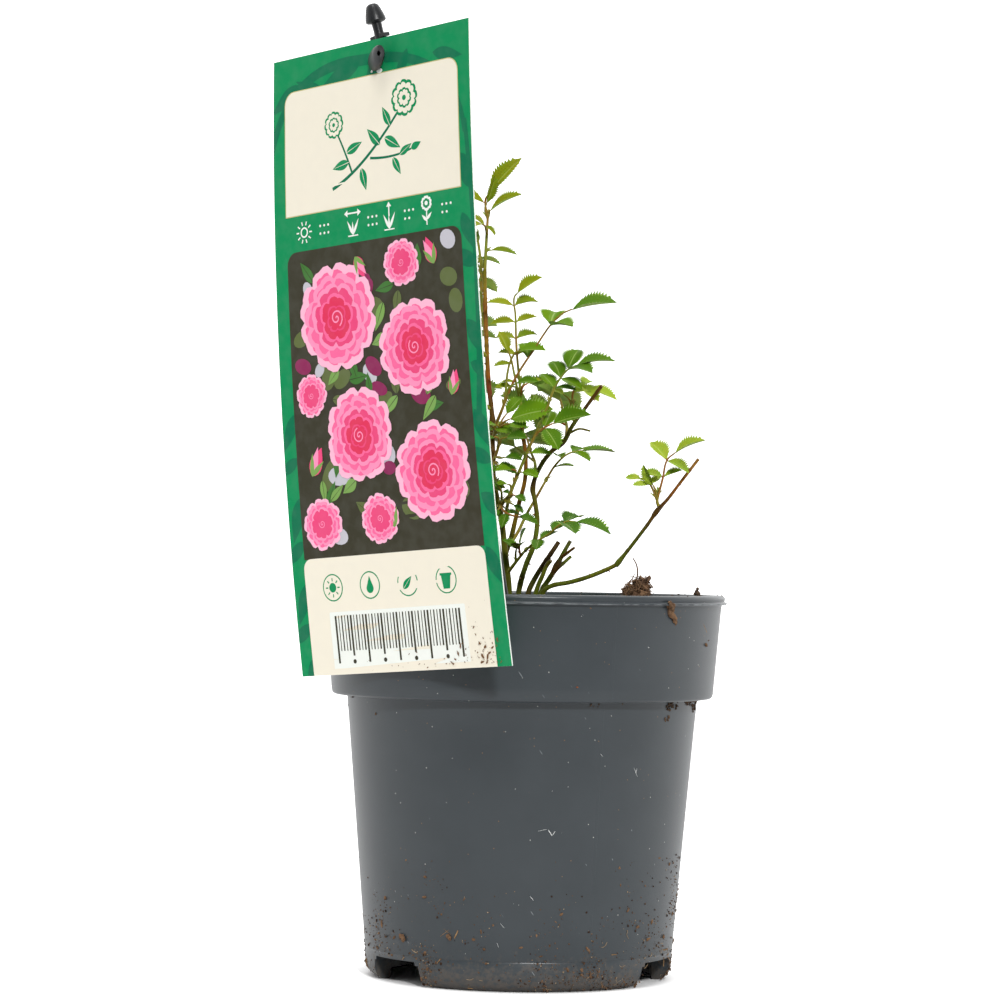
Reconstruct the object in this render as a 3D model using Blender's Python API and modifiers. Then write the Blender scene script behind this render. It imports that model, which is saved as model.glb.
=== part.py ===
"""Potted rose bush: a young rose of several thorny canes in a one-litre nursery pot,
with the pot's hanging label. Metres, +Z up, origin on the pot's axis at its underside,
front of the pot towards -Y."""

import math
import random

import bmesh
import bpy
from mathutils import Matrix, Vector

GAP = 0.0003  # clearance between neighbouring pieces
CUTTER_OVERRUN = 0.002  # how far a cutter runs past the face it opens

# ---- pot
POT_HEIGHT = 0.1223
POT_STEPS = 48
WALL = 0.0012
LIP_RADIUS = 0.065
LIP_DEPTH = 0.0027
LIP_EDGE = 0.0005  # its softened edges
COLLAR_TOP_RADIUS = 0.0633
COLLAR_FOOT_RADIUS = 0.0608
COLLAR_FOOT = 0.0894
COLLAR_ROUNDING = 0.0012
BODY_TOP_RADIUS = 0.0559
BODY_FOOT_RADIUS = 0.0482
HEEL_RADIUS = 0.0438
HEEL_HEIGHT = 0.0052
FLOOR = 0.0090
NOTCH_HEIGHT = 0.0078
NOTCH_WIDTH = 0.0215
NOTCH_TAPER = 0.86
NOTCH_DEPTH = 0.016
FIRST_NOTCH = math.radians(-23.5)
NOTCHES = 3
DRAIN_HOLES = 6
DRAIN_RADIUS = 0.0042
DRAIN_CIRCLE = 0.031

# ---- compost
COMPOST_CROWN = 0.1205
COMPOST_CROWN_RADIUS = 0.019
COMPOST_EDGE = 0.1172
COMPOST_STEPS = 40
CANE_FOOT = COMPOST_CROWN + GAP
CLOD_HALF_SIZE = (0.0045, 0.0042, 0.0062)
CLOD_ROUGHNESS = 0.22
CLOD_PLACE = Vector((0.0350, -0.0410, COMPOST_EDGE + 3 * GAP))
CLOD_SEED = 4

# ---- label card, hung in front of the rim and bent a little by it
CARD_WIDTH = 0.0876
CARD_LENGTH = 0.1941
CARD_THICKNESS = 0.0008
CARD_TOP = Vector((-0.0505, -0.0497, 0.2915))
CARD_TURN = math.radians(42.9)
CARD_TWIST = math.radians(-3.3)
CARD_ROLL = math.radians(3.96)
CARD_LEAN = math.radians(2.4)
CARD_BEND = math.radians(-8.8)
CARD_ROWS = 12
CARD_COLUMNS = 4
EYELET_DROP = 0.0068
EYELET_ACROSS = 0.042  # of the card's width, to the right of its middle
EYELET_RADIUS = 0.0024

# ---- label holder, a moulded stake with a snap stud
STAKE_FOOT = Vector((-0.0066, -0.0500, 0.1180))
STAKE_SPIKE = Vector((-0.0012, -0.0503, 0.0860))
STAKE_WIDTH = 0.0070
STAKE_TOP_WIDTH = 0.0042
STAKE_THICKNESS = 0.0022
STAKE_BEHIND_CARD = 0.0036
STAKE_BOW = 0.0036  # how far the stake bows to one side between foot and stud
STAKE_BEYOND_STUD = 0.0082
STAKE_STEPS = 3
SPIKE_WIDTH_SHARE = 0.35  # of the stake's width, at the tip of its spike
SPIKE_SHEET_SHARE = 0.5
STAKE_CORNER = (0.8, 0.4)  # where its rounded corners start, of its half width and half sheet
STUD_RADIUS = 0.0037
STUD_FACE_RADIUS = 0.0027
STUD_DEPTH = 0.0036
STUD_PIN_RADIUS = 0.0019
STUD_PIN_LENGTH = 0.0056
STUD_PIN_BACK = 0.0020  # how far the pin's middle lies behind the card's front
FLANGE_RADIUS = 0.0031
FLANGE_THICKNESS = 0.0013
FLANGE_FLATNESS = 0.42
NECK_RADIUS = 0.0014
NECK_LENGTH = 0.0056
NECK_RISE = 0.0026  # of its middle, above the flange
PEG_RADIUS = 0.0033
PEG_TOP_RADIUS = 0.0015
PEG_LENGTH = 0.0062
PEG_RISE = 0.0082

# ---- leaves
LEAFLET_WIDTH = 0.58  # of its length
LEAFLET_THICKNESS = 0.030  # of its length, at the midrib
LEAFLET_STATIONS = ((0.26, 0.86), (0.62, 0.82))  # share of its length, and of its width there
LEAFLET_SAG = 0.04  # how far its tip hangs back, of its length
FIRST_PAIR = 0.25  # the stretch of a leaf's own stalk that bears its paired leaflets
LAST_PAIR = 0.95
SIDE_ANGLE = 64.0  # degrees between the stalk and its paired leaflets
SMALLEST_PAIR = 0.52  # their size, as a share of the end leaflet's
PAIR_GROWTH = 0.34
SIDE_SPREAD = 9.0
MOST_DROOP = 0.24  # how far a paired leaflet may hang or lift out of the leaf's plane
MOST_LIFT = 0.14
SIZE_SPREAD = (0.92, 1.10)
END_DROOP = 0.14
END_TURN = 0.16
STALK_TAPER = 0.6
PETIOLE = 0.00042
TWIG = 0.00058
SUNK = 0.0006  # how far a stalk or leaflet starts inside what bears it


# ======================================================================== helpers

def clear_scene():
    for old in list(bpy.data.objects):
        bpy.data.objects.remove(old, do_unlink=True)


def new_collection(name, hidden=False):
    collection = bpy.data.collections.new(name)
    bpy.context.scene.collection.children.link(collection)
    collection.hide_render = hidden
    return collection


def new_material(name, colour, roughness):
    material = bpy.data.materials.new(name)
    material.use_nodes = True
    shader = material.node_tree.nodes["Principled BSDF"]
    shader.inputs["Base Color"].default_value = (*colour, 1.0)
    shader.inputs["Roughness"].default_value = roughness
    shader.inputs["Metallic"].default_value = 0.0
    material.diffuse_color = (*colour, 1.0)
    return material


def new_object(name, mesh, collection, material=None):
    piece = bpy.data.objects.new(name, mesh)
    collection.objects.link(piece)
    if material:
        mesh.materials.append(material)
    return piece


def new_cutter(name, mesh):
    piece = new_object(name, mesh, CUTTERS)
    piece.hide_render = True
    piece.display_type = "WIRE"
    return piece


def finished_mesh(bm, name):
    """The bmesh as a mesh whose doubles are merged and whose faces point out."""
    bmesh.ops.remove_doubles(bm, verts=bm.verts, dist=1e-6)
    bmesh.ops.recalc_face_normals(bm, faces=bm.faces)
    mesh = bpy.data.meshes.new(name)
    bm.to_mesh(mesh)
    bm.free()
    return mesh


def evaluated_mesh(piece):
    """A new plain mesh of the piece as its modifiers or its bevel leave it."""
    bpy.context.view_layer.update()
    graph = bpy.context.evaluated_depsgraph_get()
    return bpy.data.meshes.new_from_object(piece.evaluated_get(graph))


def turned(name, profile, steps, collection, material):
    """A turned piece: its profile runs down the outer side and is spun about Z."""
    mesh = bpy.data.meshes.new(name)
    edges = [(i, i + 1) for i in range(len(profile) - 1)]
    mesh.from_pydata([(r, 0.0, z) for r, z in profile], edges, [])
    piece = new_object(name, mesh, collection, material)
    screw = piece.modifiers.new("turn", "SCREW")
    screw.angle = math.tau
    screw.steps = steps
    screw.render_steps = steps
    screw.use_merge_vertices = True
    screw.merge_threshold = 0.00001
    screw.use_smooth_shade = True
    return piece


def cut(piece, cutter, name):
    modifier = piece.modifiers.new(name, "BOOLEAN")
    modifier.operation = "DIFFERENCE"
    modifier.object = cutter
    return modifier


def join(piece, others, name, solver="EXACT"):
    """One Boolean union of the piece with the others, applied, and the others removed."""
    group = new_collection(name + "_union", hidden=True)
    for other in others:
        group.objects.link(other)
        CUTTERS.objects.unlink(other)
    modifier = piece.modifiers.new("union", "BOOLEAN")
    modifier.operation = "UNION"
    modifier.operand_type = "COLLECTION"
    modifier.collection = group
    modifier.solver = solver
    mesh = evaluated_mesh(piece)
    mesh.materials.clear()
    mesh.materials.append(piece.data.materials[0])
    piece.modifiers.clear()
    piece.data = mesh
    for other in others:
        bpy.data.objects.remove(other, do_unlink=True)
    bpy.data.collections.remove(group)


def smooth_route(points, steps):
    """Points on a curve through the given ones: it leaves each in the mean direction of
    its two spans, as a stem does at a bend, and starts and ends straight."""
    spans = [(b - a).normalized() for a, b in zip(points, points[1:])]
    ways = [spans[0], *((a + b).normalized() for a, b in zip(spans, spans[1:])), spans[-1]]
    found = []
    for start, end, leave, arrive in zip(points, points[1:], ways, ways[1:]):
        reach = (end - start).length
        for step in range(steps):
            t = step / steps
            found.append(
                start * (1 - 3 * t ** 2 + 2 * t ** 3)
                + end * (3 * t ** 2 - 2 * t ** 3)
                + leave * reach * (t - 2 * t ** 2 + t ** 3)
                + arrive * reach * (t ** 3 - t ** 2)
            )
    return found + [points[-1].copy()]


def tube(name, points, radii, sides_level, collection, material=None):
    """A tube along the points: a bevelled curve with filled caps, made a closed mesh."""
    curve = bpy.data.curves.new(name, "CURVE")
    curve.dimensions = "3D"
    curve.bevel_depth = 1.0
    curve.bevel_resolution = sides_level
    curve.use_fill_caps = True
    spline = curve.splines.new("POLY")
    spline.points.add(len(points) - 1)
    for point, place, radius in zip(spline.points, points, radii):
        point.co = (*place, 1.0)
        point.radius = radius
    guide = new_object(name + "_guide", curve, CUTTERS)
    loose_caps = evaluated_mesh(guide)
    bm = bmesh.new()
    bm.from_mesh(loose_caps)
    bpy.data.meshes.remove(loose_caps)
    mesh = finished_mesh(bm, name)
    bpy.data.objects.remove(guide, do_unlink=True)
    bpy.data.curves.remove(curve)
    return new_object(name, mesh, collection, material)


def primitive(name, build, **sizes):
    """A closed bmesh primitive as a loose helper object."""
    bm = bmesh.new()
    build(bm, **sizes)
    return new_cutter(name, finished_mesh(bm, name))


def tapered(first, last, count):
    """Evenly spaced values from the first to the last."""
    return [first + (last - first) * i / (count - 1) for i in range(count)]


def heading(azimuth, rise):
    """The unit vector at this azimuth from +X and this rise above level, in degrees."""
    a, b = math.radians(azimuth), math.radians(rise)
    return Vector((math.cos(a) * math.cos(b), math.sin(a) * math.cos(b), math.sin(b)))


# ======================================================================== the pot

def wall_radius(z):
    """The outer radius of the pot's tapered body at this height."""
    return BODY_FOOT_RADIUS + (BODY_TOP_RADIUS - BODY_FOOT_RADIUS) * z / COLLAR_FOOT


def heel_arc(steps=3):
    """The rounded heel of the skirt, from the body's taper in to the ring it stands on."""
    reach = wall_radius(HEEL_HEIGHT) - HEEL_RADIUS
    for step in range(1, steps + 1):
        turn = math.pi / 2 * step / steps
        yield HEEL_RADIUS + reach * math.cos(turn), HEEL_HEIGHT * (1 - math.sin(turn))


def build_pot():
    lip_foot = POT_HEIGHT - LIP_DEPTH
    inner_collar = COLLAR_TOP_RADIUS - WALL
    profile = [
        (0.0, FLOOR),
        (wall_radius(FLOOR) - WALL, FLOOR),
        (BODY_TOP_RADIUS - WALL, COLLAR_FOOT - WALL),
        (BODY_TOP_RADIUS - WALL, COLLAR_FOOT + WALL),
        (COLLAR_FOOT_RADIUS - WALL, COLLAR_FOOT + 2 * WALL),
        (inner_collar, POT_HEIGHT - LIP_EDGE),
        (inner_collar + LIP_EDGE, POT_HEIGHT),
        (LIP_RADIUS - LIP_EDGE, POT_HEIGHT),
        (LIP_RADIUS, POT_HEIGHT - LIP_EDGE),
        (LIP_RADIUS, lip_foot),
        (COLLAR_TOP_RADIUS, lip_foot - LIP_EDGE / 2),
        (COLLAR_FOOT_RADIUS, COLLAR_FOOT + COLLAR_ROUNDING),
        (COLLAR_FOOT_RADIUS - COLLAR_ROUNDING, COLLAR_FOOT),
        (BODY_TOP_RADIUS, COLLAR_FOOT),
        (wall_radius(HEEL_HEIGHT), HEEL_HEIGHT),
        *heel_arc(),
        (HEEL_RADIUS - WALL, 0.0),
        (HEEL_RADIUS - WALL, FLOOR - WALL),
        (0.0, FLOOR - WALL),
    ]
    pot = turned("pot", profile, POT_STEPS, PARTS, POT_PLASTIC)
    for index in range(NOTCHES):
        angle = FIRST_NOTCH + index * math.tau / NOTCHES
        pot_cutter(pot, f"notch_{index}", notch_mesh(), HEEL_RADIUS, angle)
    for index in range(DRAIN_HOLES):
        angle = FIRST_NOTCH + (index + 0.5) * math.tau / DRAIN_HOLES
        pot_cutter(pot, f"drain_{index}", drain_mesh(), DRAIN_CIRCLE, angle)
    return pot


def pot_cutter(pot, name, mesh, reach, angle):
    cutter = new_cutter(name, mesh)
    cutter.location = (reach * math.cos(angle), reach * math.sin(angle), 0.0)
    cutter.rotation_euler.z = angle
    cut(pot, cutter, name)


def notch_mesh():
    """A block that narrows upwards, to cut one foot notch out of the skirt."""
    bm = bmesh.new()
    bmesh.ops.create_cube(bm, size=1.0)
    for vert in bm.verts:
        narrowing = NOTCH_TAPER if vert.co.z > 0 else 1.0
        vert.co.x *= NOTCH_DEPTH
        vert.co.y *= NOTCH_WIDTH * narrowing
        vert.co.z = NOTCH_HEIGHT if vert.co.z > 0 else -CUTTER_OVERRUN
    return finished_mesh(bm, "notch")


def drain_mesh():
    bm = bmesh.new()
    bmesh.ops.create_cone(
        bm, cap_ends=True, segments=12, radius1=DRAIN_RADIUS, radius2=DRAIN_RADIUS,
        depth=WALL + 2 * CUTTER_OVERRUN, matrix=Matrix.Translation((0, 0, FLOOR - WALL / 2)),
    )
    return finished_mesh(bm, "drain")


def build_clod():
    """A clod of roots and bark that lies on the compost behind the rim."""
    rng = random.Random(CLOD_SEED)
    bm = bmesh.new()
    bmesh.ops.create_icosphere(bm, subdivisions=2, radius=1.0)
    for vert in bm.verts:
        bulge = rng.uniform(1.0 - CLOD_ROUGHNESS, 1.0)
        for axis in range(3):
            vert.co[axis] *= CLOD_HALF_SIZE[axis] * bulge
    lowest = min(vert.co.z for vert in bm.verts)
    bmesh.ops.translate(bm, verts=bm.verts, vec=CLOD_PLACE - Vector((0.0, 0.0, lowest)))
    new_object("root_clod", finished_mesh(bm, "root_clod"), PARTS, COMPOST_SOIL)


def build_compost():
    """The root ball: it fills the pot to just under the rim, crowned under the canes."""
    inside = WALL + GAP
    profile = [
        (0.0, COMPOST_CROWN),
        (COMPOST_CROWN_RADIUS, COMPOST_CROWN),
        (COMPOST_CROWN_RADIUS * 2.0, COMPOST_EDGE + WALL),
        (COLLAR_TOP_RADIUS - inside - GAP, COMPOST_EDGE),
        (COLLAR_FOOT_RADIUS - inside, COLLAR_FOOT + 2 * WALL + 2 * GAP),
        (BODY_TOP_RADIUS - inside, COLLAR_FOOT + WALL + 2 * GAP),
        (BODY_TOP_RADIUS - inside, COLLAR_FOOT - WALL),
        (wall_radius(FLOOR) - inside, FLOOR + GAP),
        (0.0, FLOOR + GAP),
    ]
    compost = turned("compost", profile, COMPOST_STEPS, PARTS, COMPOST_SOIL)
    slot = stake_blade("spike_slot", GAP)
    cut(compost, slot, "spike_slot")
    return compost


# ======================================================================== the label

def card_axes(share):
    """The card's across, along and outward directions at this share of its length."""
    turn = CARD_TURN + CARD_TWIST * (share - 0.5)
    level = Vector((math.cos(turn), -math.sin(turn), 0.0))
    out = Vector((-math.sin(turn), -math.cos(turn), 0.0))
    up = Vector((0.0, 0.0, 1.0))
    across = level * math.cos(CARD_ROLL) + up * math.sin(CARD_ROLL)
    down = level * math.sin(CARD_ROLL) - up * math.cos(CARD_ROLL)
    lean = CARD_LEAN + CARD_BEND * share
    return across, down * math.cos(lean) + out * math.sin(lean), out


def card_line():
    """Points down the middle of the card's front face, one for each row of its mesh."""
    points = [CARD_TOP.copy()]
    for row in range(CARD_ROWS):
        _, along, _ = card_axes((row + 0.5) / CARD_ROWS)
        points.append(points[-1] + along * CARD_LENGTH / CARD_ROWS)
    return points


def card_point(across_share, drop):
    """A point on the card's front face: across it from -0.5 to 0.5, and down from its top."""
    share = drop / CARD_LENGTH
    line = card_line()
    row = min(int(share * CARD_ROWS), CARD_ROWS - 1)
    part = share * CARD_ROWS - row
    middle = line[row].lerp(line[row + 1], part)
    return middle + card_axes(share)[0] * across_share * CARD_WIDTH


def build_card():
    bm = bmesh.new()
    rows = []
    for row, middle in enumerate(card_line()):
        across, _, _ = card_axes(row / CARD_ROWS)
        rows.append([
            bm.verts.new(middle + across * CARD_WIDTH * (column / CARD_COLUMNS - 0.5))
            for column in range(CARD_COLUMNS + 1)
        ])
    for upper, lower in zip(rows, rows[1:]):
        for i in range(CARD_COLUMNS):
            bm.faces.new((upper[i], lower[i], lower[i + 1], upper[i + 1]))
    mesh = bpy.data.meshes.new("label_card")
    bm.to_mesh(mesh)
    bm.free()
    card = new_object("label_card", mesh, PARTS, CARD_PRINT)
    shell = card.modifiers.new("thickness", "SOLIDIFY")
    shell.thickness = CARD_THICKNESS
    shell.offset = -1.0
    centre = card_point(EYELET_ACROSS, EYELET_DROP)
    eyelet = primitive(
        "eyelet", bmesh.ops.create_cone, cap_ends=True, segments=16,
        radius1=EYELET_RADIUS, radius2=EYELET_RADIUS, depth=0.01,
    )
    eyelet.matrix_world = facing(centre, card_axes(0.0)[2])
    cut(card, eyelet, "eyelet")
    return card


def facing(place, direction):
    """A matrix that puts a piece's Z axis along the direction, and its X axis near the
    card's across direction, at the place."""
    depth = direction.cross(card_axes(0.0)[0]).normalized()
    axes = Matrix((depth.cross(direction), depth, direction)).transposed()
    return Matrix.Translation(place) @ axes.to_4x4()


def stake_line():
    """The holder's middle line, from the tip of its spike up to its flange."""
    out = card_axes(0.0)[2]
    back = CARD_THICKNESS + STAKE_BEHIND_CARD
    stud = card_point(EYELET_ACROSS, EYELET_DROP) - out * back
    bow = (STAKE_FOOT + stud) / 2 + Vector((STAKE_BOW, 0.0, 0.0))
    lean = (stud - bow).normalized()
    return STAKE_SPIKE, STAKE_FOOT, bow, stud, stud + lean * STAKE_BEYOND_STUD


def stake_blade(name, extra):
    """The stake's flat blade as a tapered loft of oblong sections, grown by extra."""
    places = smooth_route(stake_line(), STAKE_STEPS)
    across = card_axes(0.0)[0]
    flat, edge = STAKE_CORNER
    bm = bmesh.new()
    rings = []
    for index, place in enumerate(places):
        share = index / (len(places) - 1)
        width = STAKE_WIDTH + (STAKE_TOP_WIDTH - STAKE_WIDTH) * share
        sheet = STAKE_THICKNESS
        if index == 0:
            width *= SPIKE_WIDTH_SHARE
            sheet *= SPIKE_SHEET_SHARE
        along = (places[min(index + 1, len(places) - 1)] - places[max(index - 1, 0)]).normalized()
        normal = along.cross(across).normalized()
        wide = normal.cross(along).normalized() * (width / 2 + extra)
        deep = normal * (sheet / 2 + extra)
        centre = place - along * extra if index == 0 else place
        corners = (
            wide + deep * edge, wide * flat + deep, -wide * flat + deep, -wide + deep * edge,
            -wide - deep * edge, -wide * flat - deep, wide * flat - deep, wide - deep * edge,
        )
        rings.append([bm.verts.new(centre + corner) for corner in corners])
    sides = len(rings[0])
    for lower, upper in zip(rings, rings[1:]):
        for i in range(sides):
            j = (i + 1) % sides
            bm.faces.new((lower[i], lower[j], upper[j], upper[i]))
    bm.faces.new(reversed(rings[0]))
    bm.faces.new(rings[-1])
    return new_cutter(name, finished_mesh(bm, name))


def build_holder():
    """A flat stake that ends in a peg, with a stud that snaps through the card's eyelet."""
    blade = stake_blade("label_holder", 0.0)
    holder = new_object("label_holder", blade.data, PARTS, HOLDER_PLASTIC)
    bpy.data.objects.remove(blade, do_unlink=True)
    holder.name = "label_holder"
    *_, stud, top = stake_line()
    lean = (top - stud).normalized()
    out = card_axes(0.0)[2]
    front = card_point(EYELET_ACROSS, EYELET_DROP)
    neck = top + lean * NECK_RISE
    peg = top + lean * PEG_RISE
    pin = front - out * STUD_PIN_BACK
    stud_head = front + out * (GAP + STUD_DEPTH / 2)
    cones = (
        ("flange", top, lean, FLANGE_RADIUS, FLANGE_RADIUS, FLANGE_THICKNESS, 12, FLANGE_FLATNESS),
        ("neck", neck, lean, NECK_RADIUS, NECK_RADIUS, NECK_LENGTH, 10, 1.0),
        ("peg_head", peg, lean, PEG_RADIUS, PEG_TOP_RADIUS, PEG_LENGTH, 12, 1.0),
        ("stud_pin", pin, out, STUD_PIN_RADIUS, STUD_PIN_RADIUS, STUD_PIN_LENGTH, 10, 1.0),
        ("stud_head", stud_head, out, STUD_RADIUS, STUD_FACE_RADIUS, STUD_DEPTH, 14, 1.0),
    )
    pieces = []
    for name, place, direction, wide, narrow, depth, sides, flatness in cones:
        cone = primitive(
            name, bmesh.ops.create_cone, cap_ends=True, segments=sides,
            radius1=wide, radius2=narrow, depth=depth,
        )
        cone.matrix_world = facing(place, direction) @ Matrix.Diagonal((1.0, flatness, 1.0, 1.0))
        pieces.append(cone)
    join(holder, pieces, "label_holder")
    return holder


# ======================================================================== canes

# Each cane: radius at its foot, radius at its tip, and the places it grows through.
# The first place is on the compost; the others are its bends and knots.
CANES = {
    "cane_left": (0.00105, 0.00062, (
        (-0.0047, -0.0040), (-0.0060, -0.0055, 0.1340), (-0.0076, -0.0060, 0.1465),
        (-0.0098, -0.0050, 0.1555), (-0.0107, -0.0020, 0.1700), (-0.0108, 0.0000, 0.1770),
        (-0.0122, 0.0020, 0.1890), (-0.0134, 0.0040, 0.2070), (-0.0140, 0.0060, 0.2220),
        (-0.0141, 0.0062, 0.2262))),
    "cane_centre": (0.00085, 0.00060, (
        (-0.0046, 0.0060), (-0.0059, 0.0050, 0.1340), (-0.0040, 0.0035, 0.1410),
        (-0.0020, 0.0010, 0.1505), (-0.0002, -0.0015, 0.1580), (0.0000, -0.0030, 0.1660),
        (-0.0012, -0.0040, 0.1740), (-0.0015, -0.0042, 0.1785))),
    "cane_tall": (0.00080, 0.00082, (
        (-0.0017, 0.0015), (0.0006, 0.0010, 0.1312), (0.0030, 0.0000, 0.1376),
        (0.0040, 0.0000, 0.1450), (0.0031, -0.0010, 0.1520), (0.0024, -0.0010, 0.1556),
        (0.0049, -0.0030, 0.1630), (0.0080, -0.0040, 0.1673), (0.0124, -0.0050, 0.1712),
        (0.0144, -0.0058, 0.1752), (0.0183, -0.0070, 0.1808), (0.0238, -0.0100, 0.1885))),
    "cane_back_left": (0.00100, 0.00060, (
        (-0.0070, 0.0105), (-0.0092, 0.0140, 0.1350), (-0.0140, 0.0200, 0.1540),
        (-0.0195, 0.0255, 0.1720), (-0.0215, 0.0290, 0.1850))),
    "cane_left_low": (0.00090, 0.00060, (
        (-0.0098, 0.0015), (-0.0135, 0.0022, 0.1262), (-0.0240, 0.0040, 0.1300),
        (-0.0350, 0.0065, 0.1395), (-0.0430, 0.0085, 0.1510), (-0.0500, 0.0100, 0.1640))),
    "stub_back": (0.00088, 0.00074, (
        (0.0014, 0.0070), (0.0024, 0.0076, 0.1247), (0.0110, 0.0120, 0.1387))),
    "stub_front": (0.00080, 0.00060, (
        (0.0038, -0.0080), (0.0045, -0.0085, 0.1245), (0.0060, -0.0100, 0.1281),
        (0.0073, -0.0110, 0.1313), (0.0085, -0.0120, 0.1327))),
    "stub_forked": (0.00088, 0.00062, (
        (0.0056, 0.0040), (0.0062, 0.0042, 0.1238), (0.0083, 0.0050, 0.1271),
        (0.0105, 0.0060, 0.1310), (0.0121, 0.0070, 0.1342), (0.0148, 0.0080, 0.1391))),
    "bough_right_low": (0.00078, 0.00066, (
        (0.0060, -0.0035), (0.0066, -0.0039, 0.1232), (0.0090, -0.0050, 0.1247),
        (0.0146, -0.0060, 0.1259), (0.0210, -0.0080, 0.1279), (0.0272, -0.0090, 0.1306),
        (0.0293, -0.0092, 0.1317))),
    "bough_right_high": (0.00064, 0.00048, (
        (0.0296, -0.0092, 0.1320), (0.0353, -0.0110, 0.1396), (0.0390, -0.0120, 0.1447),
        (0.0418, -0.0130, 0.1489), (0.0451, -0.0140, 0.1527), (0.0489, -0.0140, 0.1578),
        (0.0546, -0.0150, 0.1655))),
}
# Knots where a cane was cut back or has branched: the cane, the height and the swelling.
KNOTS = (
    ("cane_tall", 0.1556, 1.25), ("cane_tall", 0.1712, 1.35), ("cane_left", 0.1555, 1.25),
    ("cane_left", 0.1770, 1.30), ("bough_right_high", 0.1489, 1.55),
    ("bough_right_high", 0.1325, 1.45), ("stub_forked", 0.1310, 1.60),
    ("cane_back_left", 0.1540, 1.30), ("cane_left_low", 0.1395, 1.35),
)
KNOT_REACH = 0.0012
FOOT_RISE = 0.0011  # how far a cane's foot stands upright before it leans
# Short cut-back twigs, fused to their cane: the cane, height, tip and radius.
SPURS = (
    ("stub_forked", 0.1310, (0.0150, 0.0090, 0.1341), 0.00060),
    ("stub_forked", 0.1342, (0.0161, 0.0040, 0.1370), 0.00050),
    ("cane_tall", 0.1752, (0.0205, -0.0048, 0.1742), 0.00036),
)


def cane_route(name):
    """The cane's places as vectors; a foot on the compost first rises a little, upright."""
    places = CANES[name][2]
    first = Vector((*places[0][:2], places[0][2] if len(places[0]) > 2 else CANE_FOOT))
    rest = [Vector(place) for place in places[1:]]
    if len(places[0]) == 2:
        rest.insert(0, first + Vector((0.0, 0.0, FOOT_RISE)))
    return [first, *rest]


def cane_path(name):
    """Smooth points along the cane with its radius at each, swollen at its knots."""
    foot, tip, _ = CANES[name]
    points = smooth_route(cane_route(name), 2)
    radii = tapered(foot, tip, len(points))
    for cane, height, swelling in KNOTS:
        for index, point in enumerate(points):
            if cane == name and abs(point.z - height) < KNOT_REACH:
                radii[index] *= swelling
    return points, radii


def cane_at(name, height):
    """The cane's axis point, direction and radius at this height."""
    points, radii = cane_path(name)
    for index in range(len(points) - 1):
        if points[index].z <= height <= points[index + 1].z:
            span = points[index + 1] - points[index]
            share = (height - points[index].z) / max(span.z, 1e-9)
            radius = max(radii[index], radii[index + 1])
            return points[index] + span * share, span.normalized(), radius
    raise ValueError(f"{name} has no point at height {height}")


def beside_cane(name, height, towards, radius):
    """Where a stem of this radius starts, just clear of the cane's side, facing a place.
    The more it slants along the cane, the further its cut end reaches back."""
    axis, along, cane_radius = cane_at(name, height)
    span = towards - axis
    way = (span - along * span.dot(along)).normalized()
    slant = abs(span.normalized().dot(along))
    return axis + way * (cane_radius + GAP + radius * slant)


def beyond_tip(name):
    """Where a stem starts that carries on from the cane's tip, just clear of it."""
    points, _ = cane_path(name)
    return points[-1] + (points[-1] - points[-2]).normalized() * GAP * 1.3


def build_canes():
    for name in CANES:
        points, radii = cane_path(name)
        cane = tube(name, points, radii, 1, PARTS, CANE_BARK)
        spurs = []
        for index, (parent, height, tip, radius) in enumerate(SPURS):
            if parent == name:
                axis, _, _ = cane_at(name, height)
                ends = [axis, axis.lerp(Vector(tip), 0.5), Vector(tip)]
                spurs.append(tube(f"spur_{index}", ends, [radius] * 3, 1, CUTTERS))
        if spurs:
            join(cane, spurs, name)


# ======================================================================== foliage

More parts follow.
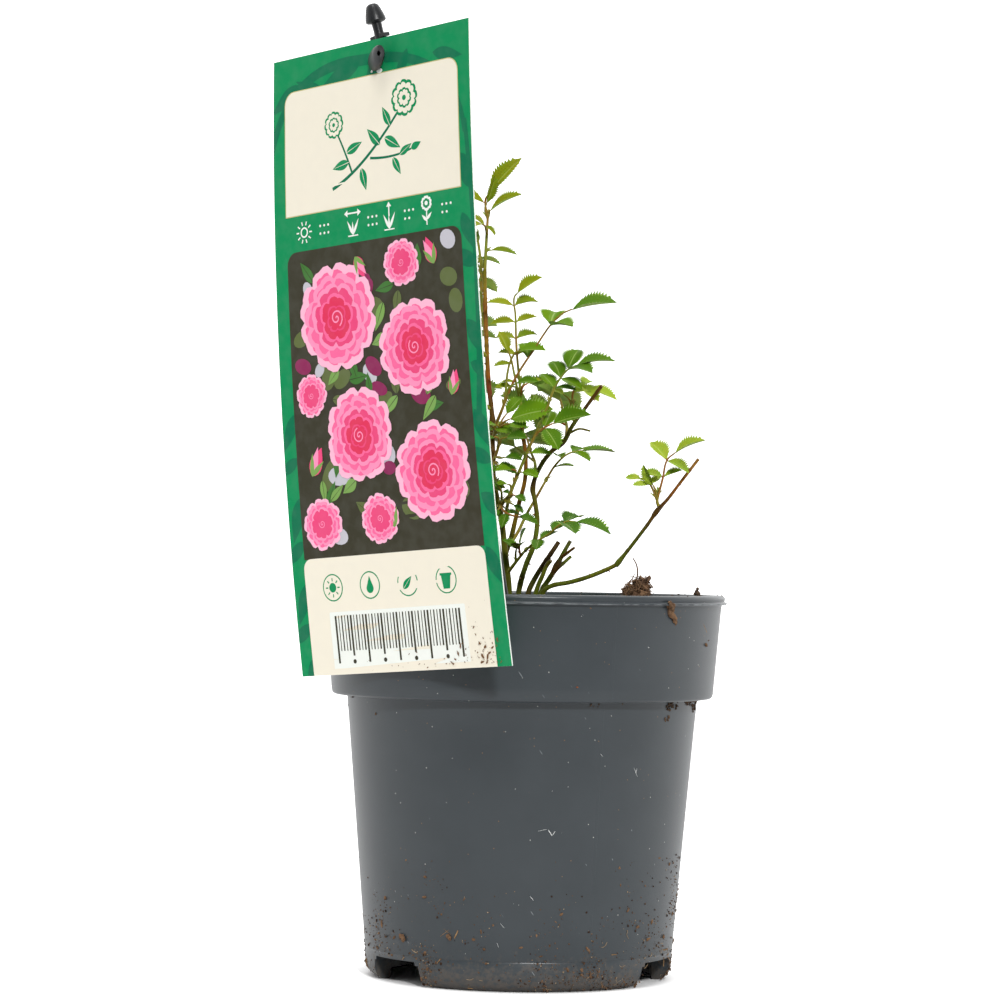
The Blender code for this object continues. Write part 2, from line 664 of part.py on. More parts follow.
# Each spray of foliage is one stem with compound leaves. "on" says where the stem starts:
# a cane and a height on its side, or a cane and None for its tip. "stem" holds the places
# it grows through. Each leaf has its place along the stem, the places its own stalk grows
# through, the sides that bear leaflets from the lowest pair up (L left, R right, B both),
# the length of its end leaflet, and the azimuth and rise that its upper side faces.
SPRAYS = {
    "leaves_left_tip": dict(on=("cane_left", None), stem=(
        (-0.0137, 0.0070, 0.2364), (-0.0134, 0.0080, 0.2435)), leaves=(
        (1.00, ((-0.0142, 0.0078, 0.2490), (-0.0131, 0.0074, 0.2508)), "B", 0.0145, (-80, 46)),
        (0.70, ((-0.0142, 0.0055, 0.2400), (-0.0150, 0.0035, 0.2404)), "B", 0.0072, (-80, 55)),
        (0.38, ((-0.0128, 0.0052, 0.2325), (-0.0120, 0.0046, 0.2328)), "", 0.0082, (-90, 52)),
        (0.20, ((-0.0165, 0.0140, 0.2305), (-0.0170, 0.0200, 0.2315)), "B", 0.0090, (85, 60)))),
    "leaves_left_thin": dict(on=("cane_left", 0.2060), stem=(
        (-0.0148, 0.0090, 0.2150), (-0.0170, 0.0105, 0.2270)), leaves=(
        (1.00, ((-0.0225, 0.0120, 0.2370), (-0.0290, 0.0130, 0.2410)), "BB", 0.0118, (170, 50)),
        (0.75, ((-0.0205, 0.0070, 0.2270), (-0.0280, 0.0020, 0.2290)), "BB", 0.0120, (-120, 55)),
        (0.50, ((-0.0170, 0.0170, 0.2240), (-0.0190, 0.0240, 0.2260)), "B", 0.0115, (80, 55)))),
    "leaves_left_upper": dict(on=("cane_left", 0.1980), stem=(
        (-0.0180, -0.0010, 0.2030), (-0.0220, -0.0040, 0.2060)), leaves=(
        (1.00, ((-0.0290, -0.0080, 0.2100), (-0.0360, -0.0110, 0.2110)), "BB", 0.0145, (-120, 60)),
        (0.60, ((-0.0240, 0.0020, 0.2060), (-0.0310, 0.0060, 0.2075)), "B", 0.0110, (170, 65)))),
    "leaves_left_back": dict(on=("cane_left", 0.1900), stem=(
        (-0.0150, 0.0090, 0.1960), (-0.0170, 0.0140, 0.2010)), leaves=(
        (1.00, ((-0.0185, 0.0210, 0.2070), (-0.0200, 0.0280, 0.2100)), "BB", 0.0138, (95, 60)),
        (0.70, ((-0.0240, 0.0150, 0.2000), (-0.0310, 0.0150, 0.2010)), "B", 0.0118, (170, 60)))),
    "leaves_left_middle": dict(on=("cane_left", 0.1810), stem=(
        (-0.0150, -0.0010, 0.1840), (-0.0190, -0.0030, 0.1865)), leaves=(
        (1.00, ((-0.0270, -0.0060, 0.1900), (-0.0350, -0.0090, 0.1905)), "BB", 0.0155, (-130, 65)),
        (0.60, ((-0.0200, -0.0090, 0.1850), (-0.0240, -0.0170, 0.1860)), "BB", 0.0122, (-90, 60)))),
    "leaves_left_front": dict(on=("cane_left", 0.1600), stem=(
        (-0.0130, -0.0090, 0.1620), (-0.0160, -0.0130, 0.1640)), leaves=(
        (1.00, ((-0.0210, -0.0200, 0.1680), (-0.0270, -0.0260, 0.1690)), "BB", 0.0140, (-110, 60)),
        (0.50, ((-0.0190, -0.0080, 0.1640), (-0.0270, -0.0080, 0.1660)), "B", 0.0120, (180, 60)))),
    "leaves_right_upper": dict(on=("cane_left", 0.1740), stem=(
        (-0.0078, -0.0075, 0.1804), (-0.0066, -0.0085, 0.1838)), leaves=(
        (1.00, ((-0.0040, -0.0105, 0.1898), (-0.0006, -0.0120, 0.1955),
                (0.0022, -0.0130, 0.1996), (0.0051, -0.0140, 0.2042),
                (0.0070, -0.0145, 0.2069), (0.0107, -0.0152, 0.2107),
                (0.0136, -0.0156, 0.2121)), "LRLB", 0.0138, (-92, 62)),
        (0.80, ((-0.0060, -0.0100, 0.1870), (-0.0044, -0.0110, 0.1877)), "", 0.0052, (-90, 50)))),
    "leaves_inner_upper": dict(on=("cane_left", 0.1718), stem=(
        (-0.0096, -0.0060, 0.1734), (-0.0084, -0.0075, 0.1753)), leaves=(
        (1.00, ((-0.0071, -0.0095, 0.1765), (-0.0055, -0.0105, 0.1773)), "", 0.0148, (-90, 44)),
        (0.90, ((-0.0075, -0.0075, 0.1775), (-0.0064, -0.0075, 0.1790)), "", 0.0076, (-100, 46)),
        (0.80, ((-0.0071, -0.0105, 0.1755), (-0.0055, -0.0120, 0.1758)), "", 0.0074, (-90, 50)),
        (0.60, ((-0.0088, -0.0095, 0.1752), (-0.0096, -0.0105, 0.1756)), "", 0.0048, (-90, 50)),
        (0.30, ((-0.0103, -0.0095, 0.1745), (-0.0115, -0.0110, 0.1748)), "B", 0.0076, (-90, 50)))),
    "leaves_inner_low": dict(on=("cane_left", 0.1640), stem=(
        (-0.0092, -0.0070, 0.1670), (-0.0086, -0.0090, 0.1688)), leaves=(
        (1.00, ((-0.0078, -0.0120, 0.1710), (-0.0064, -0.0135, 0.1714)), "", 0.0080, (-90, 46)),
        (0.80, ((-0.0089, -0.0120, 0.1713), (-0.0099, -0.0140, 0.1715)), "", 0.0050, (-90, 48)),
        (0.40, ((-0.0079, -0.0095, 0.1650), (-0.0068, -0.0105, 0.1652)), "", 0.0064, (-90, 52)),
        (0.15, ((-0.0085, -0.0080, 0.1625), (-0.0072, -0.0095, 0.1623)), "B", 0.0062, (-90, 52)))),
    "leaves_inner_foot": dict(on=("cane_left", 0.1500), stem=(
        (-0.0070, -0.0110, 0.1513), (-0.0055, -0.0135, 0.1526)), leaves=(
        (1.00, ((-0.0042, -0.0150, 0.1532), (-0.0033, -0.0160, 0.1531)), "", 0.0052, (-90, 52)),
        (0.80, ((-0.0046, -0.0140, 0.1507), (-0.0037, -0.0145, 0.1502)), "", 0.0044, (-90, 50)),
        (0.50, ((-0.0077, -0.0130, 0.1548), (-0.0085, -0.0140, 0.1559)), "B", 0.0058, (-90, 55)),
        (0.25, ((-0.0064, -0.0120, 0.1479), (-0.0041, -0.0130, 0.1468),
                (-0.0022, -0.0135, 0.1465)), "B", 0.0066, (-90, 55)),
        (0.15, ((-0.0080, -0.0125, 0.1491), (-0.0084, -0.0135, 0.1486)), "", 0.0036, (-90, 52)))),
    "leaves_centre": dict(on=("cane_centre", None), stem=(
        (-0.0020, -0.0040, 0.1832), (-0.0022, -0.0036, 0.1886)), leaves=(
        (1.00, ((-0.0035, -0.0022, 0.2008), (-0.0040, -0.0014, 0.2113),
                (-0.0044, -0.0012, 0.2169), (-0.0036, -0.0014, 0.2180)), "BBBB", 0.0096, (-88, 54)),
        (0.80, ((-0.0030, -0.0046, 0.1877), (-0.0046, -0.0050, 0.1880)), "", 0.0054, (-90, 54)),
        (0.70, ((-0.0011, -0.0038, 0.1883), (0.0000, -0.0036, 0.1890)), "", 0.0050, (-88, 54)),
        (0.45, ((-0.0042, -0.0060, 0.1926), (-0.0052, -0.0066, 0.1970),
                (-0.0060, -0.0068, 0.1989)), "LL", 0.0072, (-92, 58)))),
    "leaves_middle": dict(on=("cane_left", 0.1437), stem=(
        (-0.0049, -0.0100, 0.1530), (-0.0027, -0.0120, 0.1590), (0.0009, -0.0140, 0.1679),
        (0.0034, -0.0150, 0.1736), (0.0070, -0.0160, 0.1821)), leaves=(
        (1.00, ((0.0086, -0.0160, 0.1869), (0.0104, -0.0160, 0.1901),
                (0.0129, -0.0160, 0.1931), (0.0154, -0.0164, 0.1944)), "BBB", 0.0120, (-86, 63)),
        (0.76, ((0.0059, -0.0164, 0.1747), (0.0081, -0.0170, 0.1758)), "B", 0.0124, (-90, 50)),
        (0.56, ((0.0003, -0.0155, 0.1664), (0.0013, -0.0160, 0.1666)), "", 0.0068, (-90, 50)),
        (0.42, ((-0.0021, -0.0142, 0.1604), (-0.0012, -0.0150, 0.1605)), "", 0.0066, (-90, 48)),
        (0.34, ((-0.0032, -0.0130, 0.1610), (-0.0042, -0.0136, 0.1613)), "", 0.0060, (-90, 52)),
        (0.22, ((-0.0047, -0.0120, 0.1563), (-0.0055, -0.0128, 0.1566)), "", 0.0044, (-90, 52)))),
    "leaves_tall_young": dict(on=("cane_tall", 0.1770), stem=(
        (0.0146, -0.0035, 0.1800), (0.0147, -0.0028, 0.1822)), leaves=(
        (1.00, ((0.0151, -0.0015, 0.1873), (0.0170, -0.0005, 0.1888),
                (0.0202, 0.0000, 0.1884)), "RB", 0.0096, (-88, 50)),
        (0.70, ((0.0135, -0.0020, 0.1845), (0.0120, -0.0010, 0.1858)), "", 0.0052, (-90, 55)))),
    "leaves_right_spray": dict(on=("cane_centre", 0.1370), stem=(
        (-0.0020, 0.0070, 0.1420), (0.0003, 0.0080, 0.1470), (0.0036, 0.0095, 0.1530),
        (0.0063, 0.0110, 0.1580)), leaves=(
        (1.00, ((0.0098, 0.0122, 0.1638), (0.0138, 0.0130, 0.1674),
                (0.0178, 0.0130, 0.1684)), "BBBR", 0.0084, (-80, 70)),)),
    "leaves_low_right": dict(on=("cane_left", 0.1290), stem=(
        (-0.0029, -0.0100, 0.1317), (-0.0001, -0.0150, 0.1353)), leaves=(
        (1.00, ((0.0030, -0.0180, 0.1381), (0.0076, -0.0210, 0.1410),
                (0.0107, -0.0230, 0.1437), (0.0132, -0.0240, 0.1450),
                (0.0157, -0.0246, 0.1450)), "LLB", 0.0104, (-90, 62)),
        (0.85, ((-0.0016, -0.0165, 0.1365), (-0.0014, -0.0175, 0.1378)), "R", 0.0068, (-90, 50)),
        (0.55, ((-0.0027, -0.0145, 0.1352), (-0.0025, -0.0160, 0.1362)), "", 0.0066, (-88, 50)))),
    "leaves_bough_right": dict(on=("bough_right_high", 0.1500), stem=(
        (0.0418, -0.0130, 0.1520), (0.0421, -0.0132, 0.1538)), leaves=(
        (1.00, ((0.0434, -0.0140, 0.1590), (0.0448, -0.0150, 0.1652),
                (0.0480, -0.0158, 0.1680)), "BB", 0.0098, (-88, 52)),
        (0.70, ((0.0400, -0.0120, 0.1565), (0.0386, -0.0112, 0.1585),
                (0.0368, -0.0104, 0.1590)), "B", 0.0060, (-90, 52)))),
    "leaves_left_low": dict(on=("cane_left_low", 0.1420), stem=(
        (-0.0370, 0.0060, 0.1450), (-0.0372, 0.0050, 0.1480)), leaves=(
        (1.00, ((-0.0380, 0.0030, 0.1540), (-0.0410, 0.0000, 0.1590)), "BB", 0.0115, (-110, 50)),
        (0.70, ((-0.0350, 0.0100, 0.1510), (-0.0340, 0.0160, 0.1550)), "B", 0.0105, (90, 55)))),
    "leaves_back_tip": dict(on=("cane_back_left", None), stem=(
        (-0.0225, 0.0305, 0.1900), (-0.0235, 0.0325, 0.1930)), leaves=(
        (1.00, ((-0.0245, 0.0370, 0.1980), (-0.0275, 0.0420, 0.2010)), "BB", 0.0138, (100, 45)),
        (0.60, ((-0.0280, 0.0280, 0.1920), (-0.0350, 0.0255, 0.1935)), "B", 0.0120, (180, 55)),
        (0.30, ((-0.0190, 0.0350, 0.1890), (-0.0165, 0.0410, 0.1900)), "B", 0.0120, (70, 55)))),
    "leaves_back_side": dict(on=("cane_back_left", 0.1560), stem=(
        (-0.0170, 0.0230, 0.1570), (-0.0200, 0.0260, 0.1580)), leaves=(
        (1.00, ((-0.0260, 0.0320, 0.1610), (-0.0330, 0.0370, 0.1620)), "BB", 0.0140, (135, 60)),
        (0.50, ((-0.0170, 0.0300, 0.1580), (-0.0160, 0.0380, 0.1600)), "B", 0.0115, (85, 60)))),
    "leaves_back": dict(on=("cane_tall", 0.1590), stem=(
        (0.0030, 0.0050, 0.1640), (0.0015, 0.0110, 0.1680)), leaves=(
        (1.00, ((0.0000, 0.0180, 0.1730), (-0.0015, 0.0250, 0.1750)), "BB", 0.0140, (90, 55)),
        (0.60, ((-0.0030, 0.0110, 0.1690), (-0.0080, 0.0150, 0.1720)), "B", 0.0110, (120, 55)))),
    "leaves_right_back": dict(on=("cane_tall", 0.1720), stem=(
        (0.0130, 0.0020, 0.1760), (0.0120, 0.0070, 0.1800)), leaves=(
        (1.00, ((0.0105, 0.0140, 0.1860), (0.0090, 0.0200, 0.1880)), "BB", 0.0130, (80, 55)),
        (0.60, ((0.0060, 0.0080, 0.1800), (0.0010, 0.0100, 0.1830)), "B", 0.0100, (100, 50)))),
}
HANDS = {"L": (-1,), "R": (1,), "B": (-1, 1)}


def at_share(points, share):
    """The point and the direction at this share of a polyline's length."""
    spans = [(b - a).length for a, b in zip(points, points[1:])]
    left = share * sum(spans)
    for index, span in enumerate(spans):
        if left <= span or index == len(spans) - 1:
            way = (points[index + 1] - points[index]).normalized()
            return points[index] + way * left, way
        left -= span


def leaflets_of(route, sides, size, face, rng):
    """The leaflets of one compound leaf, by rule: opposite pairs that grow in size up the
    stalk, and one at its end. Each is its root, its direction, its upper side and its length."""
    upper = heading(*face)
    pairs = len(sides)
    found = []
    for pair, side in enumerate(sides):
        share = FIRST_PAIR + (LAST_PAIR - FIRST_PAIR) * (pair + 0.5) / pairs
        root, along = at_share(route, share)
        normal = (upper - along * upper.dot(along)).normalized()
        for hand in HANDS[side]:
            angle = math.radians(SIDE_ANGLE + rng.uniform(-SIDE_SPREAD, SIDE_SPREAD))
            way = along * math.cos(angle) + along.cross(normal) * hand * math.sin(angle)
            way = (way + upper * rng.uniform(-MOST_DROOP, MOST_LIFT)).normalized()
            growth = SMALLEST_PAIR + PAIR_GROWTH * (pair + 1) / pairs
            found.append((root, way, upper, size * growth * rng.uniform(*SIZE_SPREAD)))
    root, along = at_share(route, 1.0)
    sideways = along.cross(upper) * rng.uniform(-END_TURN, END_TURN)
    way = (along + sideways - Vector((0.0, 0.0, END_DROOP))).normalized()
    found.append((root, way, upper, size))
    return found


def leaflet(name, root, way, normal, length):
    """A thin pointed blade with a keel along its midrib and its root sunk in its stalk."""
    normal = (normal - way * normal.dot(way)).normalized()
    side = way.cross(normal) * LEAFLET_WIDTH * length / 2
    keel = normal * LEAFLET_THICKNESS * length
    base = root - way * SUNK
    bm = bmesh.new()
    first = bm.verts.new(base)
    rings = []
    for share, breadth in LEAFLET_STATIONS:
        middle = base + way * share * length - normal * LEAFLET_SAG * share * length
        corners = (middle + side * breadth, middle - side * breadth, middle - keel)
        rings.append([bm.verts.new(corner) for corner in corners])
    last = bm.verts.new(base + (way - normal * LEAFLET_SAG * 2.0) * length)
    for i, j in ((0, 1), (1, 2), (2, 0)):
        bm.faces.new((first, rings[0][i], rings[0][j]))
        bm.faces.new((rings[0][i], rings[1][i], rings[1][j], rings[0][j]))
        bm.faces.new((rings[1][i], last, rings[1][j]))
    return new_cutter(name, finished_mesh(bm, name))


def stem_route(spray):
    """The stem's smooth points, from just clear of its cane."""
    cane, height = spray["on"]
    places = [Vector(place) for place in spray["stem"]]
    start = beyond_tip(cane) if height is None else beside_cane(cane, height, places[0], TWIG)
    return smooth_route([start, *places], 2)


def build_spray(index, name):
    """One node of foliage: its stem, leaf stalks and leaflets fused into one solid."""
    spray = SPRAYS[name]
    rng = random.Random(index)
    stem = stem_route(spray)
    piece = tube(name, stem, tapered(TWIG, PETIOLE, len(stem)), 0, PARTS, LEAF_GREEN)
    pieces = []
    for number, (share, places, sides, size, face) in enumerate(spray["leaves"]):
        fork, along = at_share(stem, share)
        route = [fork - along * SUNK, *(Vector(place) for place in places)]
        thin = tapered(PETIOLE, PETIOLE * STALK_TAPER, len(route))
        stalk = tube(f"{name}_stalk_{number}", route, thin, 0, CUTTERS)
        pieces.append(stalk)
        for count, found in enumerate(leaflets_of(route, sides, size, face, rng)):
            pieces.append(leaflet(f"{name}_{number}_{count}", *found))
    join(piece, pieces, name, solver="MANIFOLD")


# ======================================================================== assembly

clear_scene()
PARTS = new_collection("rose_bush")
CUTTERS = new_collection("cutters")

POT_PLASTIC = new_material("pot_plastic", (0.066, 0.078, 0.089), 0.42)
COMPOST_SOIL = new_material("compost_soil", (0.060, 0.036, 0.022), 0.95)
CARD_PRINT = new_material("card_print", (0.010, 0.300, 0.130), 0.45)
HOLDER_PLASTIC = new_material("holder_plastic", (0.018, 0.018, 0.020), 0.45)
CANE_BARK = new_material("cane_bark", (0.120, 0.100, 0.030), 0.60)
LEAF_GREEN = new_material("leaf_green", (0.080, 0.210, 0.035), 0.50)

build_pot()
build_compost()
build_clod()
build_card()
build_holder()
build_canes()
for spray_index, spray_name in enumerate(SPRAYS):
    build_spray(spray_index, spray_name)
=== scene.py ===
"""The potted rose bush dressed for a studio view: slate pot, compost, label on its holder,
and a young rose of thorny canes with toothed compound leaves."""

import random
from math import atan2, cos, exp, hypot, pi, radians, sin, sqrt, tan, tau

import bmesh
import bpy
from mathutils import Matrix, Vector, noise


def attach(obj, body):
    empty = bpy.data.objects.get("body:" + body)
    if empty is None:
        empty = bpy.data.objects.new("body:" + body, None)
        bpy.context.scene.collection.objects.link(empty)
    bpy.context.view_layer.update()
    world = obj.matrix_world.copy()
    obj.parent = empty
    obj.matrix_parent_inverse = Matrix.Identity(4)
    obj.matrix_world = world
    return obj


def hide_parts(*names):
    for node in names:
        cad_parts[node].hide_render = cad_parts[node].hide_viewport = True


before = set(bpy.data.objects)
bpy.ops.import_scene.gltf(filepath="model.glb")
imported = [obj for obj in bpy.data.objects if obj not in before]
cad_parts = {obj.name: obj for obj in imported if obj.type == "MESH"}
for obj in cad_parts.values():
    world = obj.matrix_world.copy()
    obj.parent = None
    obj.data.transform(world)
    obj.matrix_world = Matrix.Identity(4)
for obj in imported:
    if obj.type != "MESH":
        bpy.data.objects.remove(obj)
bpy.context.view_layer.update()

MM = 0.001  # the tables of sizes and places are in millimetres
GAP = 0.0003
UP = Vector((0.0, 0.0, 1.0))

# ======================================================================== helpers


def linear(red, green, blue):
    """A colour given in screen values from 0 to 255, as the shader wants it."""
    return tuple(
        c / 12.92 if c <= 0.04045 else ((c + 0.055) / 1.055) ** 2.4
        for c in (red / 255, green / 255, blue / 255)
    )


def mix(a, b, share):
    return tuple(x + (y - x) * share for x, y in zip(a, b))


def new_object(name, mesh):
    piece = bpy.data.objects.new(name, mesh)
    bpy.context.scene.collection.objects.link(piece)
    return piece


def mesh_of(name, verts, faces, slots=None, edges=()):
    mesh = bpy.data.meshes.new(name)
    mesh.from_pydata([tuple(v) for v in verts], edges, faces)
    if slots:
        mesh.polygons.foreach_set("material_index", slots)
    return mesh


def opened(mesh):
    bm = bmesh.new()
    bm.from_mesh(mesh)
    return bm


def written(bm, mesh):
    """Writes a form that was worked on into the mesh, or a new one of this name, and frees it."""
    mesh = bpy.data.meshes.new(mesh) if isinstance(mesh, str) else mesh
    bm.to_mesh(mesh)
    bm.free()
    return mesh


def turned_out(mesh):
    """Turns every face of the mesh outward."""
    bm = opened(mesh)
    bmesh.ops.recalc_face_normals(bm, faces=bm.faces)
    return written(bm, mesh)


def finish_piece(piece, nodes, materials=(), angle=40.0):
    """Puts a finished piece on the frame: its materials, body, node and slot."""
    for material in materials:
        piece.data.materials.append(material)
    if angle:
        piece.data.shade_smooth()
        piece.data.set_sharp_from_angle(angle=radians(angle))
    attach(piece, "root")
    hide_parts(*nodes)
    return piece


def applied(piece):
    """The piece with its modifiers made into its mesh."""
    bpy.context.view_layer.update()
    graph = bpy.context.evaluated_depsgraph_get()
    mesh = bpy.data.meshes.new_from_object(piece.evaluated_get(graph))
    piece.modifiers.clear()
    piece.data = mesh
    return piece


def cut(piece, cutters):
    """Cuts the cutters out of the piece and drops them."""
    for cutter in cutters:
        cutting = piece.modifiers.new("cut", "BOOLEAN")
        cutting.operation, cutting.object = "DIFFERENCE", cutter
    applied(piece)
    for cutter in cutters:
        bpy.data.objects.remove(cutter, do_unlink=True)


def place_of(values):
    """A place in a table, in millimetres, as a vector in metres."""
    return Vector(values) * MM


def turns(count, first=0.0):
    """This many angles evenly round a circle."""
    return [first + tau * i / count for i in range(count)]


def around(radius, turn, z=0.0):
    """A point round the upright axis, the turn in radians from +X."""
    return Vector((radius * cos(turn), radius * sin(turn), z))


def smooth_route(points, steps):
    """Points on a curve through the given ones: it leaves each in the mean direction of
    its two spans, as a stem does at a bend, and starts and ends straight."""
    spans = [(b - a).normalized() for a, b in zip(points, points[1:])]
    ways = [spans[0], *((a + b).normalized() for a, b in zip(spans, spans[1:])), spans[-1]]
    found = []
    for start, end, leave, arrive in zip(points, points[1:], ways, ways[1:]):
        reach = (end - start).length
        for step in range(steps):
            t = step / steps
            found.append(
                start * (1 - 3 * t ** 2 + 2 * t ** 3) + end * (3 * t ** 2 - 2 * t ** 3)
                + leave * reach * (t - 2 * t ** 2 + t ** 3) + arrive * reach * (t ** 3 - t ** 2))
    return found + [points[-1].copy()]


def tapered(first, last, count):
    return [first + (last - first) * i / (count - 1) for i in range(count)]


def at_share(points, share):
    """The point and the direction at this share of a polyline's length."""
    spans = [(b - a).length for a, b in zip(points, points[1:])]
    left = share * sum(spans)
    for index, span in enumerate(spans):
        if left <= span or index == len(spans) - 1:
            way = (points[index + 1] - points[index]).normalized()
            return points[index] + way * left, way
        left -= span


def heading(azimuth, rise):
    """The unit vector at this azimuth from +X and this rise above level, in degrees."""
    b = radians(rise)
    return around(cos(b), radians(azimuth), sin(b))


def quads(rings, sides):
    """The faces between each ring of verts and the next."""
    return [(r * sides + i, r * sides + (i + 1) % sides, (r + 1) * sides + (i + 1) % sides,
             (r + 1) * sides + i) for r in range(rings - 1) for i in range(sides)]


def lathe(profile, sides):
    """Verts and faces of a closed turned form; a profile point on the axis is a pole."""
    verts, rings, faces = [], [], []
    for r, z in profile:
        if r == 0.0:
            rings.append([len(verts)] * sides)
            verts.append(Vector((0.0, 0.0, z)))
            continue
        rings.append(list(range(len(verts), len(verts) + sides)))
        verts += [around(r, turn, z) for turn in turns(sides)]
    for a, b in zip(rings, rings[1:]):
        for i in range(sides):
            j = (i + 1) % sides
            face = list(dict.fromkeys((a[i], a[j], b[j], b[i])))
            if len(face) > 2:
                faces.append(tuple(face))
    return verts, faces


class Shapes:
    """Many small shapes gathered into the verts, faces and slots of one mesh."""

    def __init__(self):
        self.verts, self.faces, self.slots = [], [], []

    def add(self, verts, faces, slots=None, place=None):
        first = len(self.verts)
        self.verts += [place @ v for v in verts] if place else verts
        self.faces += [tuple(first + i for i in face) for face in faces]
        self.slots += slots or [0] * len(faces)

    def piece(self, name):
        return new_object(name, mesh_of(name, self.verts, self.faces, self.slots))


# ======================================================================== shader nodes


def node(tree, kind, inputs=(), **settings):
    """A node in a shader or geometry tree, with its settings, values and links."""
    made = tree.nodes.new(kind)
    for key, value in settings.items():
        setattr(made, key, value)
    for key, value in dict(inputs).items():
        fed(tree, made.inputs[key], value)
    return made


def fed(tree, socket, value):
    """Links the socket or sets its value."""
    if isinstance(value, bpy.types.NodeSocket):
        tree.links.new(value, socket)
    elif socket.type == "RGBA":
        socket.default_value = (*value, 1.0)
    else:
        socket.default_value = value


def maths(tree, operation, *values):
    return node(tree, "ShaderNodeMath", enumerate(values), operation=operation).outputs[0]


def blended(tree, share, a, b):
    """A colour between a and b."""
    return node(tree, "ShaderNodeMix", {"Factor": share, 6: a, 7: b},
                data_type="RGBA").outputs[2]


def noise_at(tree, place, scale, detail, **more):
    return node(tree, "ShaderNodeTexNoise", {
        "Vector": place, "Scale": scale, "Detail": detail, **more}).outputs[0]


def ramp(tree, value, low, high, first=0.0, last=1.0):
    """The value's way from low to high, as one from first to last."""
    return node(tree, "ShaderNodeMapRange", {
        "Value": value, "From Min": low, "From Max": high, "To Min": first,
        "To Max": last}).outputs[0]


def object_place(tree):
    return tree.nodes.new("ShaderNodeTexCoord").outputs["Object"]


def stretched(tree, place, along):
    """The place with its height shrunk, so that a pattern on it runs on upwards."""
    return node(tree, "ShaderNodeVectorMath", {0: place, 1: (1.0, 1.0, along)},
                operation="MULTIPLY").outputs[0]


def shader_group(name, second, floats, result="Height"):
    """An empty group from a colour, a second one and some values to a mixed colour and one
    more result: its tree, its inputs and the way to close it."""
    tree = bpy.data.node_groups.new(name, "ShaderNodeTree")
    second += " Colour"
    for label, value in {"Colour": (0.5,) * 3, second: (0.3,) * 3, **floats}.items():
        kind = "Color" if isinstance(value, tuple) else "Float"
        socket = tree.interface.new_socket(label, in_out="INPUT", socket_type="NodeSocket" + kind)
        socket.default_value = (*value, 1.0) if kind == "Color" else value
    for label, kind in (("Colour", "Color"), (result, "Float")):
        tree.interface.new_socket(label, in_out="OUTPUT", socket_type="NodeSocket" + kind)
    given, out = tree.nodes.new("NodeGroupInput").outputs, tree.nodes.new("NodeGroupOutput").inputs

    def close(share, value):
        tree.links.new(blended(tree, share, given["Colour"], given[second]), out["Colour"])
        tree.links.new(value, out[result])
        return tree

    return tree, given, close


def mottle_group():
    """Soft patches of a second colour over the first, with a fine grain in the height."""
    tree, given, close = shader_group("mottle", "Patch", {
        "Patches Per Metre": 60.0, "Amount": 0.5, "Grain Per Metre": 900.0})
    place = object_place(tree)
    edge = ramp(tree, noise_at(tree, place, given["Patches Per Metre"], 3.0), 0.38, 0.66)
    return close(maths(tree, "MULTIPLY", edge, given["Amount"]),
                 noise_at(tree, place, given["Grain Per Metre"], 2.0))


def dust_group():
    """Dry soil dust that thins out with height above the foot, in broken patches."""
    tree, given, close = shader_group("dust", "Dust", {
        "Reach": 0.02, "Amount": 0.6, "Patches Per Metre": 160.0, "Roughness": 0.4}, "Roughness")
    place = object_place(tree)
    height = node(tree, "ShaderNodeSeparateXYZ", {"Vector": place}).outputs[2]
    low = maths(tree, "SUBTRACT", 1.0, maths(tree, "DIVIDE", height, given["Reach"]))
    broken = noise_at(tree, place, given["Patches Per Metre"], 5.0, Roughness=0.65)
    patch = ramp(tree, maths(tree, "ADD", broken, maths(tree, "MULTIPLY", low, 0.30)), 0.58, 0.80)
    share = maths(tree, "MULTIPLY", patch, given["Amount"])
    rough = maths(tree, "ADD", given["Roughness"], maths(tree, "MULTIPLY", share, 0.45))
    return close(share, rough)


def scratch_group():
    """Fine pale scratches: thin stretched flecks, sparse and set at a slant."""
    tree, given, close = shader_group("scratches", "Scratch", {
        "Scale": 90.0, "Amount": 0.5, "Slant": 0.6})
    turned = node(tree, "ShaderNodeVectorRotate", {
        "Vector": object_place(tree), "Angle": given["Slant"]}, rotation_type="Y_AXIS")
    cells = node(tree, "ShaderNodeTexVoronoi", {
        "Vector": stretched(tree, turned.outputs[0], 0.10), "Scale": given["Scale"]})
    thin = ramp(tree, cells.outputs["Distance"], 0.055, 0.035)
    few = ramp(tree, noise_at(tree, object_place(tree), 45.0, 1.0), 0.52, 0.60)
    share = maths(tree, "MULTIPLY", maths(tree, "MULTIPLY", thin, few), given["Amount"])
    return close(share, maths(tree, "MULTIPLY", share, -1.0))


def speck_group():
    """Tiny round specks of a second colour."""
    tree, given, close = shader_group("specks", "Speck", {
        "Specks Per Metre": 200.0, "Size": 0.09, "Rare": 0.55})
    cells = node(tree, "ShaderNodeTexVoronoi", {
        "Vector": object_place(tree), "Scale": given["Specks Per Metre"]})
    dot = maths(tree, "LESS_THAN", cells.outputs["Distance"], given["Size"])
    chance = node(tree, "ShaderNodeSeparateColor", {"Color": cells.outputs["Color"]}).outputs[0]
    share = maths(tree, "MULTIPLY", dot, maths(tree, "GREATER_THAN", chance, given["Rare"]))
    return close(share, share)


def streak_group():
    """Bark streaks that run along a cane: fine lengthwise noise over the given colour."""
    tree, given, close = shader_group("streaks", "Streak", {
        "Streaks Per Metre": 2600.0, "Amount": 0.5})
    place = stretched(tree, object_place(tree), 0.16)
    fine = noise_at(tree, place, given["Streaks Per Metre"], 3.0)
    return close(maths(tree, "MULTIPLY", ramp(tree, fine, 0.45, 0.72), given["Amount"]), fine)


MOTTLE, DUST, SCRATCHES = mottle_group(), dust_group(), scratch_group()
SPECKS, STREAKS = speck_group(), streak_group()


